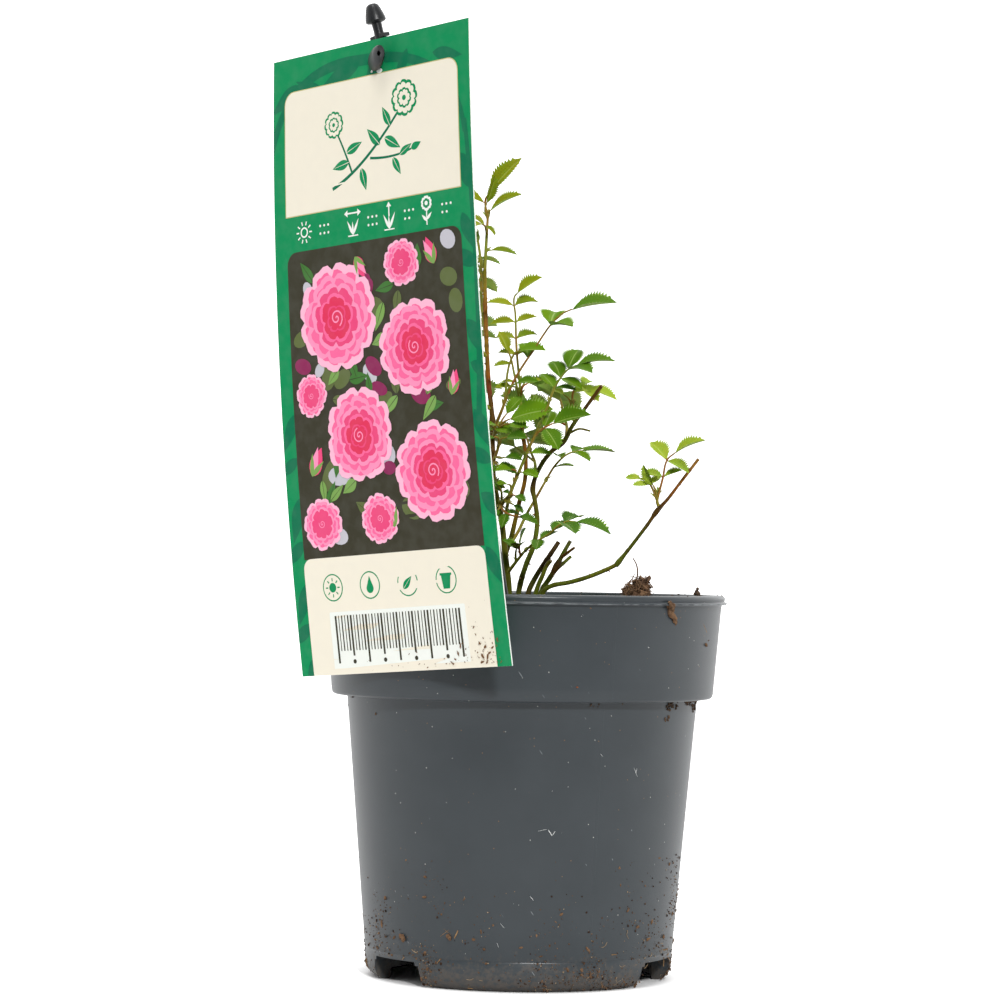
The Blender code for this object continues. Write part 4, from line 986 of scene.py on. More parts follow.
    def laid(self, name):
        """The drawing cut along the card's rows and edges, and bent onto its face."""
        bm, rows = self.bm, CARD_ROWS * 4
        cuts = [((0.0, row * CARD_FOOT / rows, 0.0), (0.0, 1.0, 0.0), row == rows, row == 0)
                for row in range(rows + 1)]
        cuts += [((PRINT_MARGIN, 0.0, 0.0), (1.0, 0.0, 0.0), False, True),
                 ((CARD_RIGHT - PRINT_MARGIN, 0.0, 0.0), (1.0, 0.0, 0.0), True, False)]
        for place, across, outer, inner in cuts:
            bmesh.ops.bisect_plane(
                bm, geom=bm.verts[:] + bm.edges[:] + bm.faces[:], dist=1e-6, plane_co=place,
                plane_no=across, clear_outer=outer, clear_inner=inner)
        bmesh.ops.triangulate(bm, faces=bm.faces[:])
        for vert in bm.verts:
            u, v, layer = vert.co
            vert.co = card_point(u / CARD_RIGHT - 0.5, v * MM, PRINT_DEPTH - LAYER * (layer + 1))
        for face in bm.faces:
            face.normal_update()
            if face.normal.dot(CARD_OUT) < 0:
                face.normal_flip()
        # The print stops at the eyelet.
        near = [face for face in bm.faces
                if (face.calc_center_median() - EYELET).length < EYELET_RADIUS]
        bmesh.ops.delete(bm, geom=near, context="FACES")
        return new_object(name, written(bm, name))


def draw_border(art):
    """The tendrils and leaves printed tone on tone in the card's green."""
    art.pen("deep_green", 0)
    art.curve((-2, 34), (4, 2), (40, 5.5), 2.4, 3.6)
    art.curve((40, 5.5), (82, 6), (85, 34), 3.6, 1.6)
    for leaf in ((41, 5, 21, 6.4, 160), (24, 14, 15, 5, 205), (12, 9, 15, 6, 148),
                 (50, 4, 15, 5, 128), (61, 5, 13, 4.4, 116), (72, 8, 13, 4.6, 12)):
        art.leaf(*leaf)
    art.curve((85, 30), (90, 80), (84, 122), 1.6, 2.2)
    for v, side, size in ((40, 62, 15), (47, 24, 12), (58, 70, 12), (74, 205, 13), (90, 60, 15),
                          (103, 28, 12), (117, 64, 14), (133, 205, 12), (142, 40, 15),
                          (158, 66, 13)):
        art.leaf(82.5 if side < 180 else 88, v, size, size * 0.42, side)
    for v, side, size in ((112, 118, 13), (126, 150, 11), (138, 108, 15), (152, 140, 12),
                          (165, 112, 14), (178, 146, 12), (188, 105, 12)):
        art.leaf(6.2, v, size, size * 0.40, side)


def draw_icons(art):
    """Plain garden signs in white: sun, spread of the plant, height of the plant, flower."""
    art.pen("white", 1).disc(13.6, 55.8, 1.7)
    art.pen("green", 2).disc(13.6, 55.8, 1.15)
    art.pen("white", 1).rays(13.6, 55.8, 10, 2.3, 3.5, 0.45)
    for u, tall in ((35.5, False), (51.5, True)):
        art.pen("white", 1)
        for length, width, angle in ((5.2, 1.1, -118), (5.6, 1.1, -62), (4.2, 0.9, -92)):
            art.leaf(u, 59.2, length, width, angle)
        art.stroke([(u - 2.2, 59.4), (u + 2.2, 59.4)], 0.4)
        if tall:
            art.stroke([(u, 55.4), (u, 51.6)], 0.5)
            art.pen("white", 2).shape([(u - 1.1, 52.4), (u, 50.9), (u + 1.1, 52.4)])
        else:
            art.stroke([(u - 2.4, 52.4), (u + 2.4, 52.4)], 0.5)
            for side in (-1, 1):
                art.pen("white", 2).shape([(u + side * 2.2, 51.3), (u + side * 3.7, 52.4),
                                           (u + side * 2.2, 53.5)])
    art.pen("white", 1).stroke([(67.7, 60.0), (67.7, 55.2)], 0.45)
    art.leaf(67.7, 58.4, 3.0, 1.1, -45)
    art.leaf(67.7, 58.8, 3.0, 1.1, -135)
    for i in range(6):
        art.pen("white", 1).petal(67.7, 53.4, 2.3, 2.0, 60 * i + 30)
        art.pen("green", 2).petal(67.7, 53.4, 1.5, 1.2, 60 * i + 30)
    art.pen("white", 3).disc(67.7, 53.4, 0.7, 10)
    art.pen("white", 1)
    for u in (20.5, 42.0, 58.0, 74.0):
        for line in range(2):
            for away in (0.4, 2.2, 4.0)[: 3 if line == 0 or u < 45 else 2]:
                art.disc(u + away, 54.6 + 2.4 * line, 0.42, 8)


def draw_sprig(art):
    """A rose sprig in green on the upper panel."""
    art.pen("deep_green", 3).curve((27, 44), (42, 39), (58, 22.5), 1.1, 0.8)
    art.curve((36, 40.3), (33, 33), (29.5, 27), 0.8, 0.6)
    art.curve((44, 36.5), (54, 38), (62, 36), 0.8, 0.6)
    art.pen("green", 3)
    for u, v, size, angle in ((34.5, 36.5, 7.5, 170), (33.5, 33.5, 7.5, -20), (48.5, 33.0, 8, -135),
                              (50.5, 31.0, 8, 30), (53, 27.6, 7, -118), (40, 39.0, 7.5, 75),
                              (54, 37.6, 6.5, 60), (57, 37.2, 6, -28)):
        art.leaf(u, v, size, size * 0.46, angle, "cream")
    for u, v, radius in ((59.5, 20.0, 5.6), (28.0, 24.0, 4.2)):
        for first, count, turn, sizes in ((4, 6, 12, (1.0, 0.98, 0.86, 0.72)),
                                          (6, 5, 0, (0.55, 0.58, 0.44, 0.40))):
            long, broad, inner_long, inner_broad = (size * radius for size in sizes)
            for i in range(count):
                angle = 360 / count * i + turn
                art.pen("green", first).petal(u, v, long, broad, angle)
                art.pen("cream", first + 1).petal(u, v, inner_long, inner_broad, angle)
        art.pen("green", 8).disc(u, v, radius * 0.15, 12)
    art.pen("green", 4).leaf(62, 36, 4.6, 2.6, -20)


def draw_picture(art):
    """A bed of pink roses among leaves, in the card's long panel."""
    left, top, right, bottom = 5.6, 61.6, 81.9, 157.8
    art.pen("ground", 1).panel(left, top, right, bottom, 4.0)
    rng = random.Random(8)
    for ink, count, size, layer in (("olive", 15, 6, 2), ("mist", 9, 5, 3), ("plum", 8, 4.6, 4)):
        art.pen(ink, layer)
        for _ in range(count):
            radius = size * rng.uniform(0.5, 1.0)
            u = rng.uniform(left + radius, right - radius)
            v = rng.uniform(top + radius, bottom - radius)
            art.disc(u, v, radius, 16, rng.uniform(0.5, 0.9), rng.uniform(0, 3.1))
    for _ in range(46):
        u, v = rng.uniform(left + 10, right - 10), rng.uniform(top + 10, bottom - 10)
        ink = rng.choice(("leaf", "leaf", "light_leaf", "olive"))
        art.pen(ink, 5 if ink == "leaf" else 6)
        art.leaf(u, v, rng.uniform(6, 10), rng.uniform(3.0, 4.6), rng.uniform(0, 360), "ground")
    for bud in ((70, 72, 9, 250), (12, 132, 10, -60), (46, 150, 9, -100), (74, 112, 8, -70),
                (36, 66, 8, 60)):
        art.bud(*bud, 7)
    for index, (u, v, radius) in enumerate((
            (27, 84, 17.5), (60, 96, 15.5), (34, 121, 15.0), (64, 134, 16.0), (15, 147, 8.6),
            (56, 70, 7.8), (14, 107, 7.0), (40, 147, 8.0))):
        art.bloom(u, v, radius, index + 3, 8 if index < 4 else 7, 5 if radius > 10 else 3)


def draw_notes(art):
    """A row of garden signs and a planting depth scale on the lower panel."""
    for u in (17, 33, 49, 65):
        art.pen("green", 3).disc(u, 167.0, 4.3, 28)
        art.pen("cream", 4).disc(u, 167.0, 3.9, 28)
    art.pen("green", 5).disc(17, 167, 1.5)
    art.rays(17, 167, 8, 2.0, 3.0, 0.4)
    art.disc(33, 168.0, 1.5)
    art.shape([(31.7, 167.3), (33, 164.2), (34.3, 167.3)])
    art.leaf(47.0, 169.0, 5.4, 2.6, -45, "cream")
    art.shape([(63, 165.6), (67, 165.6), (66.3, 169.8), (63.7, 169.8)])
    art.pen("green", 6).stroke([(62.6, 165.4), (67.4, 165.4)], 0.7)
    art.pen("white", 3).panel(14.5, 174.6, 71.5, 192.2, 0.5)
    art.pen("ground", 4)
    for tick in range(41):
        foot = 190.6 if tick % 10 == 0 else 188.4 if tick % 5 == 0 else 186.8
        width = (0.78, 0.34, 0.52, 0.34, 0.62)[tick % 5]
        art.stroke([(17.0 + 1.3 * tick, 175.8), (17.0 + 1.3 * tick, foot)], width)
    for mark in range(4):
        art.disc(23.5 + 13.0 * mark, 190.2, 0.7, 12)


def draw_soil_marks(art):
    """Flecks of compost dried on at the card's lower right."""
    rng = random.Random(17)
    art.pen("soil", 12)
    for _ in range(SOIL_FLECKS):
        u, v = 84.0 - abs(rng.gauss(0.0, 7.5)), 193.0 - abs(rng.gauss(0.0, 8.0))
        if rng.random() < 0.25:
            u, v = rng.uniform(24, 84), 193.3 - abs(rng.gauss(0.0, 2.0))
        size = rng.choice((0.12, 0.15, 0.2, 0.25, 0.3, 0.55))
        sides, turn = rng.randint(4, 6), rng.uniform(0, 6.2)
        points = []
        for a in turns(sides):
            r = size * rng.uniform(0.5, 1.3)
            points.append((r * cos(a) * 1.5, r * sin(a) * 0.7))
        art.shape(turned(points, turn, u, v))


def printed(name, colour):
    finish = Finish(name, colour, 0.6, gloss=0.12)
    return finish.mottled(mix(colour, (0.5,) * 3, 0.06), 240.0, 0.5, 6000.0, 0.000012, 0.5).done()


def build_card():
    """The bent card: a thin sheet with a green front, a green back and a pale cut edge."""
    rows, wide = CARD_ROWS * 4, CARD_COLUMNS + 1
    verts = [card_point(column / CARD_COLUMNS - 0.5, row * CARD_LENGTH / rows, back)
             for back in (PRINT_DEPTH, CARD_THICKNESS)
             for row in range(rows + 1) for column in range(wide)]
    back, faces = wide * (rows + 1), []
    for row in range(rows):
        for a in range(row * wide, row * wide + CARD_COLUMNS):
            faces.append((a, a + wide, a + wide + 1, a + 1))
            faces.append((back + a, back + a + 1, back + a + wide + 1, back + a + wide))
    slots = [0] * len(faces)
    rim = [*range(CARD_COLUMNS), *range(CARD_COLUMNS, rows * wide, wide),
           *range(back - 1, rows * wide, -1), *range(rows * wide, 0, -wide)]
    for a, b in zip(rim, rim[1:] + rim[:1]):
        faces.append((a, b, back + b, back + a))
        slots.append(1)
    card = new_object("label_sheet", mesh_of("card", verts, faces, slots))
    card.data.materials.append(printed("card_green", linear(*INKS["green"])))
    card.data.materials.append(Finish("card_cut_edge", linear(232, 238, 230), 0.7).done())
    hole = new_object("hole", mesh_of("hole", *lathe(
        [(0.0, -0.005), (EYELET_RADIUS, -0.005), (EYELET_RADIUS, 0.005), (0.0, 0.005)], 40)))
    hole.matrix_world = facing(EYELET, CARD_OUT)
    cut(card, [hole])
    finish_piece(card, ["label_card"])

    art = Drawing()
    draw_border(art)
    art.pen("gilt", 1).panel(5.3, 10.7, 82.7, 50.4, 4.2)
    art.pen("cream", 2).panel(5.6, 11.0, 82.4, 50.1, 4.0)
    art.panel(5.2, 157.6, 81.9, 194.2, 3.2)
    for draw in (draw_icons, draw_sprig, draw_picture, draw_notes, draw_soil_marks):
        draw(art)
    eyelet, drop = (0.5 + EYELET_ACROSS) * CARD_RIGHT, EYELET_DROP / MM
    art.pen("white", 4).disc(eyelet + 1.3, drop + 3.3, 1.25, flat=0.6)
    art.disc(eyelet - 2.2, drop + 3.0, 0.45)
    finish_piece(art.laid("label_print"), ["label_card"],
                 [printed("ink_" + name, linear(*colour)) for name, colour in INKS.items()])


STAKE_SPIKE = Vector((-0.0012, -0.0503, 0.0860))
STAKE_FOOT = Vector((-0.0066, -0.0500, 0.1180))
STAKE_WIDTH, STAKE_TOP_WIDTH, STAKE_SHEET = 0.0070, 0.0042, 0.0022
STAKE_SECTION = ((1.0, 0.0), (0.97, 0.55), (0.86, 0.88), (0.62, 1.0), (0.3, 0.72), (0.0, 0.66))
# The turned forms on the stake's head, as radii and heights in millimetres.
FLANGE = ((0, -0.58), (4.1, -0.58), (4.38, -0.4), (4.38, 0.4), (4.1, 0.58), (0, 0.58))
PEG = ((0, -0.5), (1.7, -0.5), (1.5, 2.4), (1.6, 4.8), (2.8, 5.1), (3.2, 5.5), (3.15, 6.2),
       (2.8, 7.7), (2.3, 9.3), (1.9, 10.3), (1.2, 10.85), (0, 10.9))
STUD_CAP = ((0, -3.4), (1.9, -3.4), (1.9, 0), (3.2, 0), (3.4, 0.5), (3.3, 1.8), (2.9, 2.9),
            (2.4, 3.5), (0.9, 3.6), (0.75, 3.4), (0.7, 1.8), (0, 1.8))
STUD_STEM = ((0, -3.2), (1.6, -3.2), (1.6, 0), (0, 0))


def build_holder():
    """The moulded stake behind the card, its snap stud through the eyelet and its peg."""
    stud = EYELET - CARD_OUT * (CARD_THICKNESS + 0.0036)
    bow = (STAKE_FOOT + stud) / 2 + Vector((0.0036, 0.0, 0.0))
    lean = (stud - bow).normalized()
    top = stud + lean * 0.0076
    line = smooth_route([STAKE_SPIKE, STAKE_FOOT, bow, stud, top], 12)
    section = [*STAKE_SECTION, *((-x, y) for x, y in reversed(STAKE_SECTION[:-1]))]
    section += [(x, -y) for x, y in reversed(section[1:-1])]
    verts = []
    for index, width in enumerate(tapered(STAKE_WIDTH, STAKE_TOP_WIDTH, len(line))):
        spike = min(index / 12, 1.0)
        half, sheet = width / 2 * (0.35 + 0.65 * spike), STAKE_SHEET / 2 * (0.5 + 0.5 * spike)
        along = (line[min(index + 1, len(line) - 1)] - line[max(index - 1, 0)]).normalized()
        normal = along.cross(CARD_ACROSS).normalized()
        wide = normal.cross(along).normalized()
        verts += [line[index] + wide * half * x + normal * sheet * y for x, y in section]
    sides = len(section)
    shape = Shapes()
    shape.add(verts, quads(len(line), sides) + [
        tuple(reversed(range(sides))), tuple(range(len(verts) - sides, len(verts)))])
    askew = Matrix.Identity(4)  # the stud's cap was pushed over to one side as it snapped in
    askew[0][2], askew[1][2] = 1.55, 0.30
    square = Matrix.Diagonal((1.0, 0.42, 1.0, 1.0)) @ Matrix.Rotation(radians(45.0), 4, "Z")
    for profile, count, place in (
        (FLANGE, 4, facing(top + lean * 0.0006, lean) @ square), (PEG, 32, facing(top, lean)),
        (STUD_CAP, 36, facing(EYELET + CARD_OUT * GAP, CARD_OUT) @ askew),
        (STUD_STEM, 6, facing(stud, CARD_OUT)),
    ):
        shape.add(*lathe([(r * MM, z * MM) for r, z in profile], count), place=place)
    piece = shape.piece("label_stake")
    turned_out(piece.data)
    finish = Finish("black_plastic", linear(31, 32, 34), 0.36, gloss=0.35)
    finish.mottled(linear(42, 43, 45), 300.0, 0.5, 5000.0, 0.00003, 0.4)
    finish.through(SPECKS, speck_colour=linear(140, 128, 110), specks_per_metre=420.0, size=0.06)
    finish_piece(piece, ["label_holder"], [finish.done()], 42.0)


# ======================================================================== canes

COMPOST_FOOT = COMPOST_CROWN + GAP
# Each cane: radius at its foot, radius at its tip, and the places it grows through.
# A first place of two values is on the compost; the others are its bends and knots.
CANES = {
    "cane_left": (1.05, 0.62, (-4.7, -4), (-6, -5.5, 134), (-7.6, -6, 146.5), (-9.8, -5, 155.5),
        (-10.7, -2, 170), (-10.8, 0, 177), (-12.2, 2, 189), (-13.4, 4, 207), (-14, 6, 222),
        (-14.1, 6.2, 226.2)),
    "cane_centre": (0.85, 0.6, (-4.6, 6), (-5.9, 5, 134), (-4, 3.5, 141), (-2, 1, 150.5),
        (-0.2, -1.5, 158), (0, -3, 166), (-1.2, -4, 174), (-1.5, -4.2, 178.5)),
    "cane_tall": (0.9, 0.56, (-1.7, 1.5), (0.6, 1, 131.2), (3, 0, 137.6), (4, 0, 145),
        (3.1, -1, 152), (2.4, -1, 155.6), (4.9, -3, 163), (8, -4, 167.3), (12.4, -5, 171.2),
        (14.4, -5.8, 175.2), (18.3, -7, 180.8), (23.8, -10, 188.5)),
    "cane_back_left": (1, 0.6, (-7, 10.5), (-9.2, 14, 135), (-14, 20, 154), (-19.5, 25.5, 172),
        (-21.5, 29, 185)),
    "cane_left_low": (0.9, 0.6, (-9.8, 1.5), (-13.5, 2.2, 126.2), (-24, 4, 130),
        (-35, 6.5, 139.5), (-43, 8.5, 151), (-50, 10, 164)),
    "stub_back": (0.88, 0.74, (1.4, 7), (2.4, 7.6, 124.7), (11, 12, 138.7)),
    "stub_front": (0.8, 0.6, (3.8, -8), (4.5, -8.5, 124.5), (6, -10, 128.1), (7.3, -11, 131.3),
        (8.5, -12, 132.7)),
    "stub_forked": (0.88, 0.62, (5.6, 4), (6.2, 4.2, 123.8), (8.3, 5, 127.1), (10.5, 6, 131),
        (12.1, 7, 134.2), (14.8, 8, 139.1)),
    "bough_right_low": (0.78, 0.66, (6, -3.5), (6.6, -3.9, 123.2), (9, -5, 124.7),
        (14.6, -6, 125.9), (21, -8, 127.9), (27.2, -9, 130.6), (29.3, -9.2, 131.7)),
    "bough_right_high": (0.64, 0.48, (29.6, -9.2, 132), (35.3, -11, 139.6), (39, -12, 144.7),
        (41.8, -13, 148.9), (45.1, -14, 152.7), (48.9, -14, 157.8), (54.6, -15, 165.5)),
}
# Knots where a cane was cut back or has branched: the cane, the height and the swelling.
KNOTS = (
    ("cane_tall", 155.6, 1.25), ("cane_tall", 170, 1.45), ("cane_left", 155.5, 1.25),
    ("cane_left", 177, 1.3), ("bough_right_high", 148.9, 1.55), ("bough_right_high", 132.5, 1.45),
    ("stub_forked", 131, 1.6), ("cane_back_left", 154, 1.3), ("cane_left_low", 139.5, 1.35),
)
KNOT_REACH = 0.0016
FOOT_RISE = 0.0011  # how far a cane's foot stands upright before it leans
# Short cut-back twigs, fused to their cane: the cane, height, tip, radius, bark and bow.
SPURS = (
    ("stub_forked", 129, (15, 9, 134.1), 0.56, "green", 0),
    ("stub_forked", 133.6, (16.1, 4, 137), 0.46, "brown", 0),
    ("cane_tall", 173.2, (20.5, -4.8, 174.2), 0.34, "olive", 1.1),
)
BARK = {name: linear(*colour) for name, colour in {
    "olive": (106, 102, 22), "green": (100, 114, 27), "tan": (147, 106, 30),
    "straw": (151, 129, 38), "rust": (144, 83, 23), "brown": (100, 66, 18),
    "dark": (69, 47, 13), "crimson": (127, 38, 26), "moss": (77, 83, 18), "tip": (164, 116, 49),
}.items()}
# The bark's colour by height along each cane.
CANE_TINTS = {
    "cane_left": ((120, "moss"), (150, "olive"), (166, "brown"), (174, "dark"), (183, "brown"),
        (187, "crimson"), (192, "rust"), (200, "tan"), (214, "rust"), (222, "straw"),
        (227, "olive")),
    "cane_centre": ((120, "moss"), (140, "olive"), (152, "tan"), (178, "rust")),
    "cane_tall": ((120, "moss"), (140, "green"), (152, "olive"), (157, "dark"), (163, "moss"),
        (170, "dark"), (172, "olive"), (177, "moss"), (180, "dark"), (188, "brown")),
    "cane_back_left": ((120, "moss"), (150, "olive"), (185, "tan")),
    "cane_left_low": ((120, "moss"), (140, "green"), (164, "rust")),
    "stub_back": ((120, "dark"), (126, "moss"), (131, "dark"), (139, "dark")),
    "stub_front": ((120, "moss"), (126, "green"), (133, "olive")),
    "stub_forked": ((120, "moss"), (126.5, "green"), (129, "brown"), (132, "dark"),
        (135, "green"), (138.5, "moss"), (140, "brown")),
    "bough_right_low": ((120, "moss"), (126, "green"), (132, "olive")),
    "bough_right_high": ((131, "green"), (142, "moss"), (147, "brown"), (150, "dark"),
        (156, "rust"), (166, "tip")),
}
RING_STEP = 0.00042  # between the rings of a cane's mesh
CANE_SIDES = 16


def evenly(points, step):
    """The polyline again, with its points this far apart."""
    total = sum((b - a).length for a, b in zip(points, points[1:]))
    count = max(int(total / step), 2)
    return [at_share(points, i / count)[0] for i in range(count + 1)]


def cane_path(name):
    """Smooth points along the cane with its radius at each, swollen at its knots. A foot on
    the compost first rises a little, upright."""
    foot, tip, first, *rest = CANES[name]
    route = [place_of(place) for place in rest]
    if len(first) == 2:
        start = Vector((first[0] * MM, first[1] * MM, COMPOST_FOOT))
        route = [start, start + UP * FOOT_RISE, *route]
    else:
        route.insert(0, place_of(first))
    points = smooth_route(route, 8)
    if name == "bough_right_high":  # the bark runs on unbroken from the bough below
        points.insert(0, points[0] - (points[1] - points[0]).normalized() * 0.0008)
    points = evenly(points, RING_STEP)
    radii = tapered(foot * MM, tip * MM, len(points))
    for cane, height, swelling in KNOTS:
        for index, point in enumerate(points):
            if cane == name:
                near = exp(-(((point.z - height * MM) / KNOT_REACH) ** 2))
                radii[index] *= 1.0 + (swelling - 1.0) * near
    return points, radii


CANE_PATHS = {name: cane_path(name) for name in CANES}


def cane_at(name, height):
    """The cane's axis point, direction and radius at this height."""
    points, radii = CANE_PATHS[name]
    for a, b, thick, thin in zip(points, points[1:], radii, radii[1:]):
        if a.z <= height <= b.z:
            share = (height - a.z) / max(b.z - a.z, 1e-9)
            return a + (b - a) * share, (b - a).normalized(), max(thick, thin)
    raise ValueError(f"{name} has no point at height {height}")


def bark_colour(name, height):
    stops = CANE_TINTS[name]
    for (low, a), (high, b) in zip(stops, stops[1:]):
        if height / MM <= high:
            return mix(BARK[a], BARK[b], min(max((height / MM - low) / (high - low), 0.0), 1.0))
    return BARK[stops[-1][1]]


def frames_along(points):
    """Two directions across the line at each point, turned as little as possible."""
    found, side = [], Vector((1.0, 0.0, 0.0))
    for index in range(len(points)):
        way = points[min(index + 1, len(points) - 1)] - points[max(index - 1, 0)]
        way.normalize()
        side = (side - way * side.dot(way)).normalized()
        found.append((side, way.cross(side)))
    return found


def bark_tube(points, radii, seed, colour_at, rough=0.09):
    """A cane's skin: ridged along its length, with leaf scars round it, a rounded shoulder
    and a flat cut end. Gives verts, faces, slots and the colour of each vert."""
    rng = random.Random(seed)
    verts, colours = [], []
    scars = [rng.uniform(0.0, 1.0) for _ in range(max(int(len(points) / 24), 1))]
    offset = rng.uniform(0, 50)
    rings = [*zip(points, radii), (points[-1], radii[-1] * 0.80), (points[-1], radii[-1] * 0.45)]
    frames = frames_along(points)
    for index, ((point, radius), (a, b)) in enumerate(zip(rings, frames + frames[-1:] * 2)):
        share = index / len(rings)
        scar = min(sum(exp(-(((share - s) * len(points) / 1.3) ** 2)) for s in scars), 1.0)
        if index < len(points):
            colour = mix(colour_at(point.z), BARK["dark"], 0.45 * scar)
        else:
            colour = mix(BARK["straw"], BARK["brown"], 0.15 if index == len(points) else 0.6)
        for turn in turns(CANE_SIDES):
            out = a * cos(turn) + b * sin(turn)
            ridge = noise.noise(Vector((out.x * 2.4 + offset, out.y * 2.4, point.z * 160.0)))
            lump = noise.noise(point * 420.0 + Vector((offset, 0.0, 0.0)))
            verts.append(point + out * radius * (1.0 + rough * ridge + 0.05 * lump + 0.10 * scar))
            colours.append(colour)
    faces = quads(len(rings), CANE_SIDES) + [
        tuple(reversed(range(CANE_SIDES))), tuple(range(len(verts) - CANE_SIDES, len(verts)))]
    bark = CANE_SIDES * (len(points) - 1)
    return verts, faces, [0] * bark + [1] * (len(faces) - bark - 2) + [0, 1], colours


def cane_bark():
    """Bark whose colour comes from the mesh's own "tint", with streaks along it."""
    finish = Finish("cane_bark", None, 0.52, gloss=0.08)
    finish.colour = node(finish.tree, "ShaderNodeVertexColor", layer_name="tint").outputs["Color"]
    finish.through(STREAKS, 0.00010, 0.8, streak_colour=linear(64, 50, 26),
                   streaks_per_metre=1500.0, amount=0.50)
    return finish.mottled(linear(70, 62, 34), 520.0, 0.30, 4000.0).done()


def build_canes():
    pith = Finish("cut_wood", linear(146, 122, 84), 0.85)
    materials = [cane_bark(), pith.mottled(linear(90, 66, 40), 1500.0, 0.7, 5000.0).done()]
    for seed, (name, (points, radii)) in enumerate(CANE_PATHS.items()):
        tubes_of = [bark_tube(points, radii, seed, lambda z: bark_colour(name, z))]
        for index, (parent, height, tip, radius, tint, bow) in enumerate(SPURS):
            if parent == name:
                axis, end = cane_at(name, height * MM)[0], place_of(tip)
                middle = axis.lerp(end, 0.5) + UP * bow * MM
                line = evenly(smooth_route([axis, middle, end], 6), RING_STEP)
                tubes_of.append(bark_tube(
                    line, tapered(radius * 1.15 * MM, radius * 0.9 * MM, len(line)), 40 + index,
                    lambda z: BARK[tint], 0.2))
        gathered, tints = Shapes(), []
        for verts, faces, slots, colours in tubes_of:
            gathered.add(verts, faces, slots)
            tints += [c for colour in colours for c in (*colour, 1.0)]
        cane = gathered.piece("bark_" + name)
        tint_of = cane.data.color_attributes.new("tint", "FLOAT_COLOR", "POINT")
        tint_of.data.foreach_set("color", tints)
        finish_piece(cane, [name], materials, 50.0)


def thorn_mesh(name, hook, broad, sides=7, rings=6):
    """A prickle of unit length: long oval foot, tip hooked along +X."""
    verts = []
    for t in (ring / rings for ring in range(rings)):
        wide = broad * (1.0 - t) ** 1.5
        for turn in turns(sides):
            foot = around(wide, turn)
            verts.append(Vector((foot.x * 1.7 + hook * t * t, foot.y * 0.7, t - 0.12)))
    verts.append(Vector((hook, 0.0, 0.88)))
    faces, last = quads(rings, sides), (rings - 1) * sides
    faces += [(last + i, last + (i + 1) % sides, len(verts) - 1) for i in range(sides)]
    return mesh_of(name, verts, faces + [tuple(reversed(range(sides)))])


# Prickles: the cane, the stretch of heights, how many, and their least and greatest length.
PRICKLES = (
    ("cane_left", 128, 200, 15, 1, 2), ("cane_left", 200, 226, 60, 0.3, 0.9),
    ("cane_left", 150, 200, 26, 0.3, 0.6), ("cane_centre", 128, 176, 13, 0.7, 1.5),
    ("cane_tall", 126, 186, 20, 0.8, 1.6), ("cane_back_left", 128, 182, 14, 0.8, 1.6),
    ("cane_left_low", 127, 162, 12, 0.7, 1.4), ("stub_forked", 123, 136, 5, 0.6, 1.1),
    ("stub_back", 123, 136, 3, 0.6, 1.1), ("bough_right_low", 123.5, 131, 7, 0.8, 1.6),
    ("bough_right_high", 133, 160, 4, 0.6, 1.2),
)
FINE_PRICKLE = 0.0007  # shorter ones are bristles


def build_prickles():
    rng = random.Random(31)
    spots = {"cane": [], "fine": []}
    for name, low, high, count, least, most in PRICKLES:
        for _ in range(count):
            axis, along, radius = cane_at(name, rng.uniform(low * MM, high * MM))
            turn = rng.uniform(0, tau)
            side = along.orthogonal().normalized()
            out = side * cos(turn) + along.cross(side) * sin(turn)
            size = rng.uniform(least * MM, most * MM)
            kind = "cane" if size > FINE_PRICKLE else "fine"
            spots[kind].append((axis + out * radius * 0.94, out, size))
    for kind, colour, thorns in (
        ("cane", linear(150, 92, 56), [("hooked", 0.34, 0.22), ("straight", 0.14, 0.18)]),
        ("fine", linear(140, 112, 58), [("bristle", 0.10, 0.09, 5, 4)]),
    ):
        finish = Finish("prickle_" + kind, colour, 0.42)
        finish.mottled(mix(colour, linear(60, 30, 20), 0.7), 900.0, 0.6, 4000.0)
        shapes = shape_set(kind + "_prickle", [thorn_mesh(*thorn) for thorn in thorns])
        finish_piece(placed("prickles_" + kind, spots[kind], shapes, finish.done()),
                     list(CANES), angle=50.0)


# ======================================================================== foliage

LEAFLET_WIDTH = 0.64  # of its length
FIRST_PAIR, LAST_PAIR = 0.25, 0.95
SIDE_ANGLE, SIDE_SPREAD = 64.0, 9.0
SMALLEST_PAIR, PAIR_GROWTH = 0.52, 0.34
MOST_DROOP, MOST_LIFT = 0.24, 0.14
SIZE_SPREAD = (0.92, 1.10)
END_DROOP, END_TURN = 0.14, 0.16
STALK_TAPER = 0.6
TOOTH_BITE, SMALL_BITE = 0.15, 0.11  # small leaves are cut deeper by so much more
SMALL_LEAF, LARGE_LEAF = 0.0065, 0.0125
TEETH, TEETH_PER_METRE = 6, 300
FIRST_TOOTH, TOOTHED, TOOTH_LEAN = 0.09, 0.80, 0.37  # of the length; the lean is of a tooth
VEIN_SLANT, PUCKER, RIB_DEPTH = 0.15, 0.014, 0.014
BLADE_THICKNESS, BLADE_TIP = 0.010, 1.03  # of the length
PETIOLE, TWIG, SUNK = 0.00042, 0.00058, 0.0006

